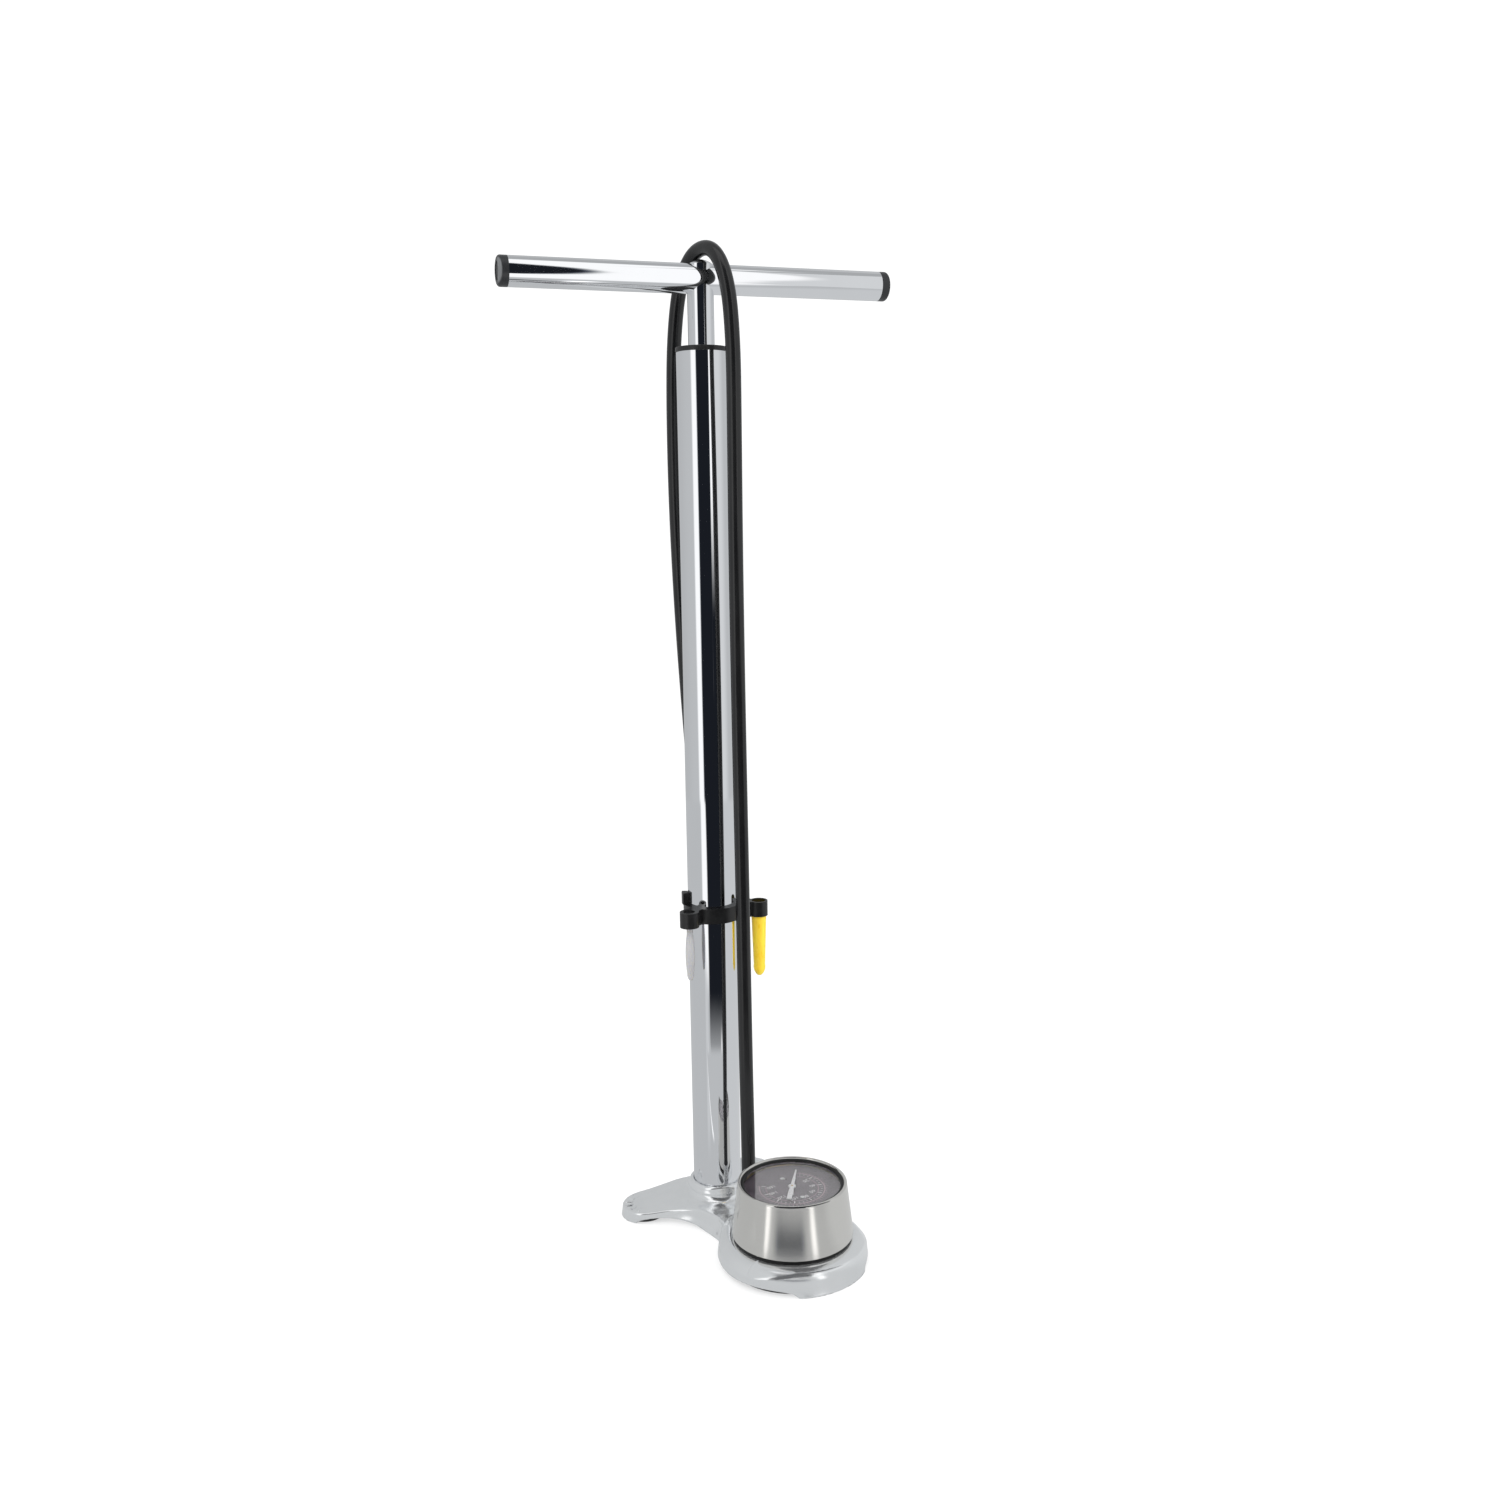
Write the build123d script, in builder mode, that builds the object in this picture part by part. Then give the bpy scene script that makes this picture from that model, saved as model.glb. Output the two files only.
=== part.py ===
from build123d import *
import math
import os

"""Floor bike pump with a round pressure gauge on its base and the hose looped over the handle.

Origin: on the ground, on the barrel's axis. +Z up, the gauge stands towards -Y, the foot wings
point to +X and -X. Millimetres. The handle rests at its lowest point.
"""

os.makedirs("parts", exist_ok=True)

# Barrel and rod
barrel_r = 17.5
barrel_bore_r = 16.0
barrel_bottom = 20.0
barrel_top = 621.0
rod_r = 9.0
rod_bore_r = 7.5
running = 0.05

# Handle
handle_z = 668.6
handle_r = 9.9
handle_wall = 1.5
handle_half = 130.0
handle_plug = 6.4
handle_yaw = -16.3
dome_top = 681.2

# Base casting
casting_bottom = 1.0
wing_top = 10.0
wing_tip = (48.0, 25.5)
wing_tip_r = 17.5
neck_half = 28.0
neck_top = 15.5
neck_draft = 25
nipple_boss = 17.0
socket_floor = 18.0
collar_top = 25.6
disc_r = 51.5
disc_top = 17.0

# Gauge
gauge_y = -92.0
gasket_top = 20.0
cup_bottom_r = 42.2
cup_top_r = 38.0
cup_top = 56.4
cup_wall = 1.2
crystal_z = 53.8
crystal_thick = 1.8
dial_z = 50.4
dial_r = 34.2
needle_angle = 46.0

# Gauge movement
module = 0.5
pinion_teeth = 10
sector_teeth = 80
plate_r = 26.0
bourdon_r = 31.0

# Hose
hose_r = 5.0
hose_bore_r = 2.4
nipple_y = -40.3
hose_start = 21.0
head_at = (10.5, 28.0)
hose_end = 256.0

# Accessory clip
clip_bottom = 226.0
clip_top = 237.0
clip_r = 20.8
cone_at = (28.4, -18.0)
bulb_at = (-27.6, -11.8)
finger_tab = 8.5

gauge_axis = Axis((0, gauge_y, 0), (0, 0, 1))
yaw = math.radians(handle_yaw)
handle_dir = Vector(math.cos(yaw), math.sin(yaw), 0)


def level(z):
    """Horizontal plane on the barrel's axis."""
    return Plane.XY.offset(z)


def gauge_level(z):
    """Horizontal plane on the gauge's axis."""
    return Plane((0, gauge_y, z))


def along_handle(distance):
    """Plane across the handle tube, facing out along it."""
    return Plane(Vector(0, 0, handle_z) + handle_dir * distance, x_dir=(0, 0, 1), z_dir=handle_dir)


def save(part, name):
    part.label = name
    export_step(part, f"parts/{name}.step")


def corners_of(inner, outer, bottom, top):
    """The (radius, height) corners of a plain ring or, with an inner radius of 0, a disc."""
    return [(inner, bottom), (outer, bottom), (outer, top), (inner, top)]


def turned(profile_points, axis_y=0.0, axis_x=0.0):
    """Solid of revolution about a vertical axis from (radius, height) corners."""
    plane = Plane((axis_x, axis_y, 0), x_dir=(1, 0, 0), z_dir=(0, -1, 0))
    with BuildPart() as part:
        with BuildSketch(plane):
            with BuildLine():
                Polyline(*profile_points, close=True)
            make_face()
        revolve(axis=Axis((axis_x, axis_y, 0), (0, 0, 1)))
    return part.part


# ---------------------------------------------------------------- base casting

with BuildPart() as base_casting:
    with BuildSketch(level(casting_bottom)) as footprint:
        with BuildLine():
            rear_end = (wing_tip[0], wing_tip[1] + wing_tip_r)
            Spline((0, 33), (20, 36.5), rear_end, tangents=[(1, 0), (1, 0)])
            tip = CenterArc(wing_tip, wing_tip_r, 90, -150)
            waist = TangentArc(tip @ 1, (neck_half, -30), tangent=tip % 1)
            corner = (neck_half, gauge_y + math.sqrt(disc_r**2 - neck_half**2))
            Line(waist @ 1, corner)
            rim = ThreePointArc(corner, (disc_r, gauge_y), (0, gauge_y - disc_r))
            Line(rim @ 1, (0, 33))
        make_face()
        mirror(about=Plane.YZ)
        fillet(footprint.vertices().filter_by(lambda v: abs(v.Y - corner[1]) < 0.1), radius=16)
    extrude(amount=wing_top - casting_bottom)
    fillet(base_casting.edges().group_by(Axis.Z)[-1], radius=2.5)
    # neck and hub, drawn in towards the top
    with BuildSketch(level(casting_bottom)):
        with Locations((0, 2)):
            Circle(29)
        with Locations((0, gauge_y / 2)):
            Rectangle(2 * neck_half, -gauge_y)
    extrude(amount=neck_top - casting_bottom, taper=neck_draft)
    # round foot under the gauge
    with BuildSketch(Plane((0, gauge_y, 0), x_dir=(1, 0, 0), z_dir=(0, -1, 0))):
        with BuildLine():
            flank = ThreePointArc((disc_r, 4), (49.2, 12.2), (43.6, disc_top))
            Polyline(flank @ 1, (0, disc_top), (0, casting_bottom), (disc_r, casting_bottom), flank @ 0)
        make_face()
    revolve(axis=gauge_axis)
    # boss under the hose nipple
    with Locations((0, nipple_y, 10)):
        Cylinder(8, nipple_boss - 10, align=(Align.CENTER, Align.CENTER, Align.MIN))
    # collar that the barrel stands in
    with BuildSketch(Plane.XZ):
        with BuildLine():
            ThreePointArc((30, 10), (24.6, 13.2), (22.4, 18.4))
            ThreePointArc((22.4, 18.4), (23.4, 22.2), (20.6, collar_top))
            Polyline((20.6, collar_top), (0, collar_top), (0, 8), (30, 8), (30, 10))
        make_face()
    revolve(axis=Axis.Z)
    # barrel socket, valve chamber and plug seat
    with Locations((0, 0, socket_floor)):
        Cylinder(barrel_r, 20, align=(Align.CENTER, Align.CENTER, Align.MIN), mode=Mode.SUBTRACT)
    with Locations((0, 0, casting_bottom)):
        Cylinder(2, 20, align=(Align.CENTER, Align.CENTER, Align.MIN), mode=Mode.SUBTRACT)
        Cylinder(5, 13, align=(Align.CENTER, Align.CENTER, Align.MIN), mode=Mode.SUBTRACT)
        Cylinder(6.5, 3, align=(Align.CENTER, Align.CENTER, Align.MIN), mode=Mode.SUBTRACT)
    # air passage to the hose and the gauge
    with BuildSketch(Plane((0, -4, 8), x_dir=(1, 0, 0), z_dir=(0, -1, 0))):
        Circle(2)
    extrude(amount=-gauge_y - 4, mode=Mode.SUBTRACT)
    with Locations((0, nipple_y, 8), (0, gauge_y, 8)):
        Cylinder(1.5, 12, align=(Align.CENTER, Align.CENTER, Align.MIN), mode=Mode.SUBTRACT)
    with Locations((0, nipple_y, 10.5), (0, gauge_y, 10.5)):
        Cylinder(4.0, 12, align=(Align.CENTER, Align.CENTER, Align.MIN), mode=Mode.SUBTRACT)
    # hollow under the round foot, with a rib around the passage
    with BuildSketch(gauge_level(casting_bottom)):
        Circle(37)
        Circle(12, mode=Mode.SUBTRACT)
        Rectangle(11, 80, mode=Mode.SUBTRACT)
    extrude(amount=10, mode=Mode.SUBTRACT)
    # screw holes for the gauge, pad recesses and the arches under the wings' front edges
    with BuildSketch(gauge_level(0)):
        with PolarLocations(28, 3, start_angle=30 - 180):
            Circle(2.1)
    extrude(amount=30, mode=Mode.SUBTRACT)
    with BuildSketch(gauge_level(casting_bottom)):
        with PolarLocations(28, 3, start_angle=30 - 180):
            Circle(5)
    extrude(amount=10, mode=Mode.SUBTRACT)
    with BuildSketch(gauge_level(casting_bottom)):
        Circle(46)
        Circle(40, mode=Mode.SUBTRACT)
    extrude(amount=2, mode=Mode.SUBTRACT)
    for side_x in (-1, 1):
        with BuildSketch(level(casting_bottom)):
            with Locations((side_x * wing_tip[0], wing_tip[1])):
                Circle(14)
        extrude(amount=2.5, mode=Mode.SUBTRACT)
        with BuildSketch(Plane((side_x * 50, 16, casting_bottom), x_dir=(1, 0, 0), z_dir=(0, -1, 0))):
            with BuildLine():
                ThreePointArc((-9, 0), (0, 3), (9, 0))
                Line((9, 0), (-9, 0))
            make_face()
        extrude(amount=14, mode=Mode.SUBTRACT)
        # raised grip studs along the wing's end
        with BuildSketch(level(wing_top - 0.5)):
            with Locations((side_x * wing_tip[0], wing_tip[1])):
                first_stud = -40 if side_x > 0 else 140
                with PolarLocations(13.2, 5, start_angle=first_stud, angular_range=120, endpoint=True):
                    Circle(1.2)
        extrude(amount=1.3)
save(base_casting.part, "base_casting")

for side_x, side_name in ((-1, "left"), (1, "right")):
    with BuildPart() as wing_pad:
        with BuildSketch(level(0)):
            with Locations((side_x * wing_tip[0], wing_tip[1])):
                Circle(14)
        extrude(amount=casting_bottom + 2.5)
        fillet(wing_pad.edges().group_by(Axis.Z)[0], radius=0.4)
    save(wing_pad.part, f"foot_pad_{side_name}")

with BuildPart() as front_pad:
    with BuildSketch(gauge_level(0)):
        Circle(46)
        Circle(40, mode=Mode.SUBTRACT)
    extrude(amount=casting_bottom + 2)
save(front_pad.part, "foot_pad_front")

# ---------------------------------------------------------------- check valve

seat_bottom = 12.0
ball_r = 3.0
ball_z = seat_bottom - math.sqrt(ball_r**2 - 2.2**2) - 0.05

save(turned([(2.2, seat_bottom), (5, seat_bottom), (5, 14), (2.2, 14)]), "check_valve_seat")
save(turned([(0, casting_bottom + 0.2), (6.5, casting_bottom + 0.2), (6.5, 4), (0, 4)]), "check_valve_plug")

with BuildPart() as check_ball:
    with Locations((0, 0, ball_z)):
        Sphere(ball_r)
save(check_ball.part, "check_ball")

spring_top = ball_z - ball_r
with BuildPart() as check_spring:
    with BuildLine(level(4.4)):
        coil = Helix(pitch=0.9, height=spring_top - 4.9, radius=2.2)
    with BuildSketch(Plane(coil @ 0, z_dir=coil % 0)):
        Circle(0.25)
    sweep(path=coil, is_frenet=True)
save(check_spring.part, "check_spring")

# ---------------------------------------------------------------- barrel and top cap

save(
    turned(corners_of(barrel_bore_r, barrel_r, barrel_bottom, barrel_top)),
    "barrel",
)
save(turned(corners_of(14, barrel_r, socket_floor, barrel_bottom)), "barrel_gasket")

cap_bottom = barrel_top - 18
wiper_bottom = barrel_top - 8
with BuildPart() as top_cap:
    with BuildSketch(level(barrel_top)):
        Circle(barrel_r + 0.4)
    extrude(amount=3.3)
    fillet(top_cap.edges().group_by(Axis.Z)[-1], radius=0.8)
    with BuildSketch(level(cap_bottom)):
        Circle(barrel_bore_r)
    extrude(amount=barrel_top - cap_bottom)
    with Locations((0, 0, cap_bottom)):
        Cylinder(rod_r + running, 40, align=(Align.CENTER, Align.CENTER, Align.MIN), mode=Mode.SUBTRACT)
    with Locations((0, 0, wiper_bottom)):
        Cylinder(11.5, 4, align=(Align.CENTER, Align.CENTER, Align.MIN), mode=Mode.SUBTRACT)
save(top_cap.part, "top_cap")
save(
    turned(corners_of(rod_r + running, 11.5, wiper_bottom, wiper_bottom + 4)),
    "rod_wiper",
)

# ---------------------------------------------------------------- piston, rod and handle

nut_bottom = 21.0
washer_bottom = 27.0
cup_floor = 28.6
piston_bottom = 31.0
piston_top = 43.0
rod_bottom = piston_top + 0.3
foot_r = 5.0

with BuildPart() as piston_nut:
    with BuildSketch(level(nut_bottom)):
        RegularPolygon(8.2, 6, major_radius=False)
        Circle(foot_r, mode=Mode.SUBTRACT)
    extrude(amount=washer_bottom - nut_bottom - 0.3)
    chamfer(piston_nut.edges().filter_by(GeomType.CIRCLE).group_by(Axis.Z)[0], 0.4)
save(piston_nut.part, "piston_nut")

stud_hole = foot_r + running
save(
    turned([(stud_hole, washer_bottom), (12.5, washer_bottom), (12.5, cup_floor), (stud_hole, cup_floor)]),
    "piston_washer",
)
cup_lip = barrel_bore_r - running
save(
    turned(
        [
            (stud_hole, cup_floor),
            (cup_lip - 2.2, cup_floor),
            (cup_lip - 1.0, nut_bottom + 0.6),
            (cup_lip, nut_bottom + 0.6),
            (cup_lip, piston_bottom - 0.6),
            (cup_lip - 0.6, piston_bottom),
            (stud_hole, piston_bottom),
        ]
    ),
    "piston_cup",
)
guide_r = barrel_bore_r - 0.1
save(
    turned(
        [
            (stud_hole, piston_bottom),
            (guide_r - 1, piston_bottom),
            (guide_r, piston_bottom + 1),
            (guide_r, piston_top - 1),
            (guide_r - 1, piston_top),
            (stud_hole, piston_top),
        ]
    ),
    "piston_body",
)
rod_foot_flange = [(0, nut_bottom), (foot_r, nut_bottom), (foot_r, rod_bottom)]
save(turned([*rod_foot_flange, (rod_bore_r, rod_bottom), (rod_bore_r, 68), (0, 68)]), "rod_foot")

with BuildPart() as piston_rod:
    with BuildSketch(level(rod_bottom)):
        Circle(rod_r)
        Circle(rod_bore_r, mode=Mode.SUBTRACT)
    extrude(amount=handle_z - rod_bottom)
    with BuildSketch(along_handle(-20)):
        Circle(handle_r)
    extrude(amount=40, mode=Mode.SUBTRACT)
save(piston_rod.part, "piston_rod")

bumper_top = rod_bottom + 9
save(
    turned(
        [(rod_r, rod_bottom), (13.5, rod_bottom), (13.5, bumper_top - 2), (11.5, bumper_top), (rod_r, bumper_top)]
    ),
    "rod_bumper",
)

stud_r = 4.0
save(
    turned(
        [(0, 628), (rod_bore_r, 628), (rod_bore_r, 655), (stud_r, 655), (stud_r, dome_top - 2), (0, dome_top - 2)]
    ),
    "handle_stud",
)

with BuildPart() as handle_tube:
    with BuildSketch(along_handle(-handle_half)):
        Circle(handle_r)
        Circle(handle_r - handle_wall, mode=Mode.SUBTRACT)
    extrude(amount=2 * handle_half)
    with Locations((0, 0, handle_z)):
        Cylinder(stud_r, 40, mode=Mode.SUBTRACT)
save(handle_tube.part, "handle_tube")

for end, end_name in ((-1, "left"), (1, "right")):
    with BuildPart() as handle_plug_part:
        with BuildSketch(along_handle(end * handle_half)):
            Circle(handle_r)
        extrude(amount=end * handle_plug)
        outer = handle_plug_part.faces().sort_by(lambda f: end * f.center().X)[-1]
        fillet(outer.edges(), radius=2.0)
        with BuildSketch(along_handle(end * (handle_half + handle_plug))):
            Circle(handle_r - 4)
        extrude(amount=-end * 0.5, mode=Mode.SUBTRACT)
        with BuildSketch(along_handle(end * handle_half)):
            Circle(handle_r - handle_wall)
        extrude(amount=-end * 16)
    save(handle_plug_part.part, f"handle_plug_{end_name}")

dome_r = 8.8
dome_curve = 13.0
with BuildPart() as dome_nut:
    with Locations((0, 0, dome_top - dome_curve)):
        Sphere(dome_curve)
    with Locations((0, 0, handle_z + 3)):
        Cylinder(dome_r, 20, align=(Align.CENTER, Align.CENTER, Align.MIN), mode=Mode.INTERSECT)
    with BuildSketch(along_handle(-20)):
        Circle(handle_r)
    extrude(amount=40, mode=Mode.SUBTRACT)
    with BuildSketch(level(handle_z)):
        Circle(stud_r)
    extrude(amount=dome_top - 2 - handle_z, mode=Mode.SUBTRACT)
save(dome_nut.part, "handle_dome_nut")

# ---------------------------------------------------------------- gauge case

save(
    turned([(30, disc_top), (41.2, disc_top), (41.2, gasket_top), (30, gasket_top)], gauge_y),
    "gauge_gasket",
)

floor_top = gasket_top + 1.5
ledge_r = 34.4
seat_r = 35.6
with BuildPart() as gauge_housing:
    with BuildSketch(Plane((0, gauge_y, 0), x_dir=(1, 0, 0), z_dir=(0, -1, 0))):
        with BuildLine():
            Polyline(
                (4, gasket_top),
                (cup_bottom_r - 1, gasket_top),
                (cup_bottom_r, gasket_top + 1),
                (cup_top_r, cup_top),
            )
            ThreePointArc((cup_top_r, cup_top), (36.9, cup_top + 1.5), (seat_r, cup_top + 0.4))
            Polyline(
                (seat_r, cup_top + 0.4),
                (seat_r, crystal_z),
                (ledge_r, crystal_z),
                (ledge_r, crystal_z - 1.2),
                (cup_top_r - cup_wall - 0.2, crystal_z - 3),
                (cup_bottom_r - cup_wall - 0.3, floor_top + 1),
                (cup_bottom_r - cup_wall - 1.3, floor_top),
                (4, floor_top),
                (4, gasket_top),
            )
        make_face()
    revolve(axis=gauge_axis)
    with BuildSketch(gauge_level(gasket_top)):
        with PolarLocations(28, 3, start_angle=30 - 180):
            Circle(2.1)
    extrude(amount=2, mode=Mode.SUBTRACT)
save(gauge_housing.part, "gauge_housing")

with BuildPart() as gauge_screws:
    with BuildSketch(gauge_level(disc_top - 6)):
        with PolarLocations(28, 3, start_angle=30 - 180):
            Circle(2.0)
    extrude(amount=13.5)
    with BuildSketch(gauge_level(disc_top - 8.5)):
        with PolarLocations(28, 3, start_angle=30 - 180):
            Circle(3.5)
    extrude(amount=2.5)
save(gauge_screws.part, "gauge_mounting_screws")

with BuildPart() as gauge_nuts:
    with BuildSketch(gauge_level(floor_top)):
        with PolarLocations(28, 3, start_angle=30 - 180):
            RegularPolygon(3.5, 6, major_radius=False)
            Circle(2.0, mode=Mode.SUBTRACT)
    extrude(amount=3)
save(gauge_nuts.part, "gauge_mounting_nuts")

crystal_top = crystal_z + crystal_thick
save(turned(corners_of(0, seat_r, crystal_z, crystal_top), gauge_y), "gauge_crystal")
save(
    turned(
        [(33.4, crystal_top), (seat_r, crystal_top), (seat_r, crystal_top + 1.1), (34.2, crystal_top + 1.1)],
        gauge_y,
    ),
    "crystal_seal",
)

with BuildPart() as gauge_dial:
    with BuildSketch(gauge_level(dial_z)):
        Circle(dial_r)
        Circle(1.4, mode=Mode.SUBTRACT)
        with PolarLocations(15, 2, start_angle=80):
            Circle(1.1, mode=Mode.SUBTRACT)
    extrude(amount=0.6)
save(gauge_dial.part, "gauge_dial")

# ---------------------------------------------------------------- gauge movement

plate_low = 32.0
plate_high = 44.0
plate_thick = 1.5
gear_z = 37.5
gear_thick = 1.5
pinion_pitch_r = module * pinion_teeth / 2
sector_pitch_r = module * sector_teeth / 2
centre_distance = pinion_pitch_r + sector_pitch_r
sector_pivot_angle = 200.0
pivot_dir = Vector(1, 0, 0).rotate(Axis.Z, sector_pivot_angle)
gauge_centre = Vector(0, gauge_y, 0)
pivot = gauge_centre + pivot_dir * centre_distance
post_angles = (20, 140, 270)


def gear_face(teeth, count, pitch_r, first_angle):
    """Teeth with rounded-off flanks on a pitch circle; count of them from first_angle on."""
    pitch_angle = 360 / teeth
    root_r = pitch_r - 1.25 * module
    tip_r = pitch_r + 0.75 * module
    for index in range(count):
        middle = first_angle + index * pitch_angle
        corners = []
        for radius, half in ((root_r - 0.3, 0.24), (pitch_r, 0.18), (tip_r, 0.08)):
            corners.append((radius, half * pitch_angle))
        points = [
            (r * math.cos(math.radians(middle - h)), r * math.sin(math.radians(middle - h)))
            for r, h in corners
        ]
        points += [
            (r * math.cos(math.radians(middle + h)), r * math.sin(math.radians(middle + h)))
            for r, h in reversed(corners)
        ]
        Polygon(*points, align=None)


with BuildPart() as pinion:
    with BuildSketch(Plane((0, gauge_y, gear_z - 0.75))):
        Circle(pinion_pitch_r - 1.25 * module)
        gear_face(pinion_teeth, pinion_teeth, pinion_pitch_r, sector_pivot_angle)
    extrude(amount=gear_thick + 1.5)
    with BuildSketch(gauge_level(plate_low + 0.2)):
        Circle(0.8)
    extrude(amount=52.9 - plate_low)
save(pinion.part, "needle_arbor")

with BuildPart() as needle:
    needle_way = Vector(1, 0, 0).rotate(Axis.Z, needle_angle)
    needle_plane = Plane((0, gauge_y, 52.2), x_dir=needle_way, z_dir=(0, 0, 1))
    with BuildSketch(needle_plane):
        with BuildLine():
            Polyline((-18.5, -1.7), (-18.5, 1.7), (-1, 1.3), (24.2, 0.5), (24.2, -0.5), (-1, -1.3), close=True)
        make_face()
        Circle(2.6)
        Circle(0.8, mode=Mode.SUBTRACT)
    extrude(amount=0.8)
save(needle.part, "gauge_needle")

sector_plane = Plane(
    (pivot.X, pivot.Y, gear_z), x_dir=Vector(1, 0, 0).rotate(Axis.Z, sector_pivot_angle + 180), z_dir=(0, 0, 1)
)
sector_pitch_angle = 360 / sector_teeth
first_tooth = -(8 + 0.5) * sector_pitch_angle
with BuildPart() as sector_gear:
    with BuildSketch(sector_plane):
        with BuildLine():
            root_r = sector_pitch_r - 1.25 * module
            low = math.radians(first_tooth - 1.5)
            high = math.radians(first_tooth + 9 * sector_pitch_angle + 1.5)
            mid = (low + high) / 2
            start = (root_r * math.cos(low), root_r * math.sin(low))
            end = (root_r * math.cos(high), root_r * math.sin(high))
            ThreePointArc(start, (root_r * math.cos(mid), root_r * math.sin(mid)), end)
            Polyline(end, (0, 2.5), (-4.8, 1.6), (-4.8, -1.6), (0, -2.5), start)
        make_face()
        with Locations((-4.8, 0)):
            Circle(1.6)
        Circle(2.8)
        gear_face(sector_teeth, 10, sector_pitch_r, first_tooth)
        Circle(0.8, mode=Mode.SUBTRACT)
        with Locations((-4.8, 0)):
            Circle(0.6, mode=Mode.SUBTRACT)
    extrude(amount=gear_thick)
save(sector_gear.part, "sector_gear")

with BuildPart() as sector_arbor:
    with BuildSketch(Plane((pivot.X, pivot.Y, plate_low + 0.2))):
        Circle(0.8)
    extrude(amount=plate_high + plate_thick - 0.2 - plate_low - 0.2)
save(sector_arbor.part, "sector_arbor")

tail = pivot + pivot_dir * 4.8
across = Vector(1, 0, 0).rotate(Axis.Z, sector_pivot_angle + 90)
link_far = gauge_centre + pivot_dir * math.sqrt(bourdon_r**2 - 81) + across * 9
link_dir = (link_far - tail).normalized()
link_length = (link_far - tail).length
with BuildPart() as gauge_link:
    link_plane = Plane((tail.X, tail.Y, gear_z + gear_thick + 0.3), x_dir=link_dir, z_dir=(0, 0, 1))
    with BuildSketch(link_plane):
        with Locations((link_length / 2, 0)):
            SlotCenterToCenter(link_length, 2.6)
        with Locations((link_length, 0)):
            Circle(0.65, mode=Mode.SUBTRACT)
    extrude(amount=0.8)
    with BuildSketch(Plane((tail.X, tail.Y, gear_z - 0.4))):
        Circle(0.55)
    extrude(amount=gear_thick + 0.8)
save(gauge_link.part, "gauge_link")

tip_angle = math.degrees(math.atan2(link_far.Y - gauge_y, link_far.X))
tip_r = math.hypot(link_far.X, link_far.Y - gauge_y)
bourdon_low = 34.5
with BuildPart() as bourdon_tube:
    with BuildSketch(gauge_level(bourdon_low)):
        with BuildLine():
            inner = CenterArc((0, 0), bourdon_r - 1.3, tip_angle - 250, 250)
            outer = CenterArc((0, 0), bourdon_r + 1.3, tip_angle - 250, 250)
            Line(inner @ 0, outer @ 0)
            Line(inner @ 1, outer @ 1)
        make_face()
    extrude(amount=4.4)
    with BuildSketch(gauge_level(bourdon_low + 4.4)):
        with Locations((tip_r * math.cos(math.radians(tip_angle)), tip_r * math.sin(math.radians(tip_angle)))):
            Circle(0.6)
    extrude(amount=2.2)
save(bourdon_tube.part, "bourdon_tube")

root_angle = tip_angle - 250
with BuildPart() as gauge_socket:
    with Locations((0, gauge_y, 10.5)):
        Cylinder(4.0, floor_top - 10.5, align=(Align.CENTER, Align.CENTER, Align.MIN))
    with Locations((0, gauge_y, floor_top)):
        Cylinder(7.5, plate_low - floor_top, align=(Align.CENTER, Align.CENTER, Align.MIN))
    arm_plane = Plane(
        (0, gauge_y, floor_top + 4), x_dir=Vector(1, 0, 0).rotate(Axis.Z, root_angle), z_dir=(0, 0, 1)
    )
    with BuildSketch(arm_plane):
        with Locations((bourdon_r / 2 + 1, 0)):
            Rectangle(bourdon_r + 2, 6)
    extrude(amount=5)
    with BuildSketch(arm_plane.offset(5)):
        with Locations((bourdon_r, -1.6)):
            Rectangle(4, 3)
    extrude(amount=bourdon_low + 4.4 - floor_top - 9)
    with Locations((0, gauge_y, 8)):
        Cylinder(1.5, 20, align=(Align.CENTER, Align.CENTER, Align.MIN), mode=Mode.SUBTRACT)
save(gauge_socket.part, "gauge_socket")

for plate_bottom, plate_name in ((plate_low, "movement_plate_lower"), (plate_high, "movement_plate_upper")):
    with BuildPart() as movement_plate:
        with BuildSketch(gauge_level(plate_bottom)):
            Circle(plate_r)
            Circle(0.8 + running, mode=Mode.SUBTRACT)
            with Locations((pivot.X, pivot.Y - gauge_y)):
                Circle(0.8 + running, mode=Mode.SUBTRACT)
            for angle in post_angles:
                with Locations(Vector(21, 0).rotate(Axis.Z, angle)):
                    Circle(1.0, mode=Mode.SUBTRACT)
        extrude(amount=plate_thick)
    save(movement_plate.part, plate_name)

with BuildPart() as movement_posts:
    for angle in post_angles:
        spot = gauge_centre + Vector(21, 0).rotate(Axis.Z, angle)
        with BuildSketch(Plane((spot.X, spot.Y, plate_low + plate_thick))):
            Circle(2)
        extrude(amount=plate_high - plate_low - plate_thick)
        with BuildSketch(Plane((spot.X, spot.Y, plate_low - 0.8))):
            Circle(1.0)
        extrude(amount=dial_z - plate_low + 0.8)
save(movement_posts.part, "movement_posts")

with BuildPart() as dial_screws:
    with BuildSketch(gauge_level(plate_high + plate_thick)):
        with PolarLocations(15, 2, start_angle=80):
            Circle(1.1)
    extrude(amount=dial_z + 0.6 - plate_high - plate_thick)
    with BuildSketch(gauge_level(dial_z + 0.6)):
        with PolarLocations(15, 2, start_angle=80):
            Circle(1.6)
    extrude(amount=0.6)
save(dial_screws.part, "dial_screws")

# ---------------------------------------------------------------- hose and its fittings

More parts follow.
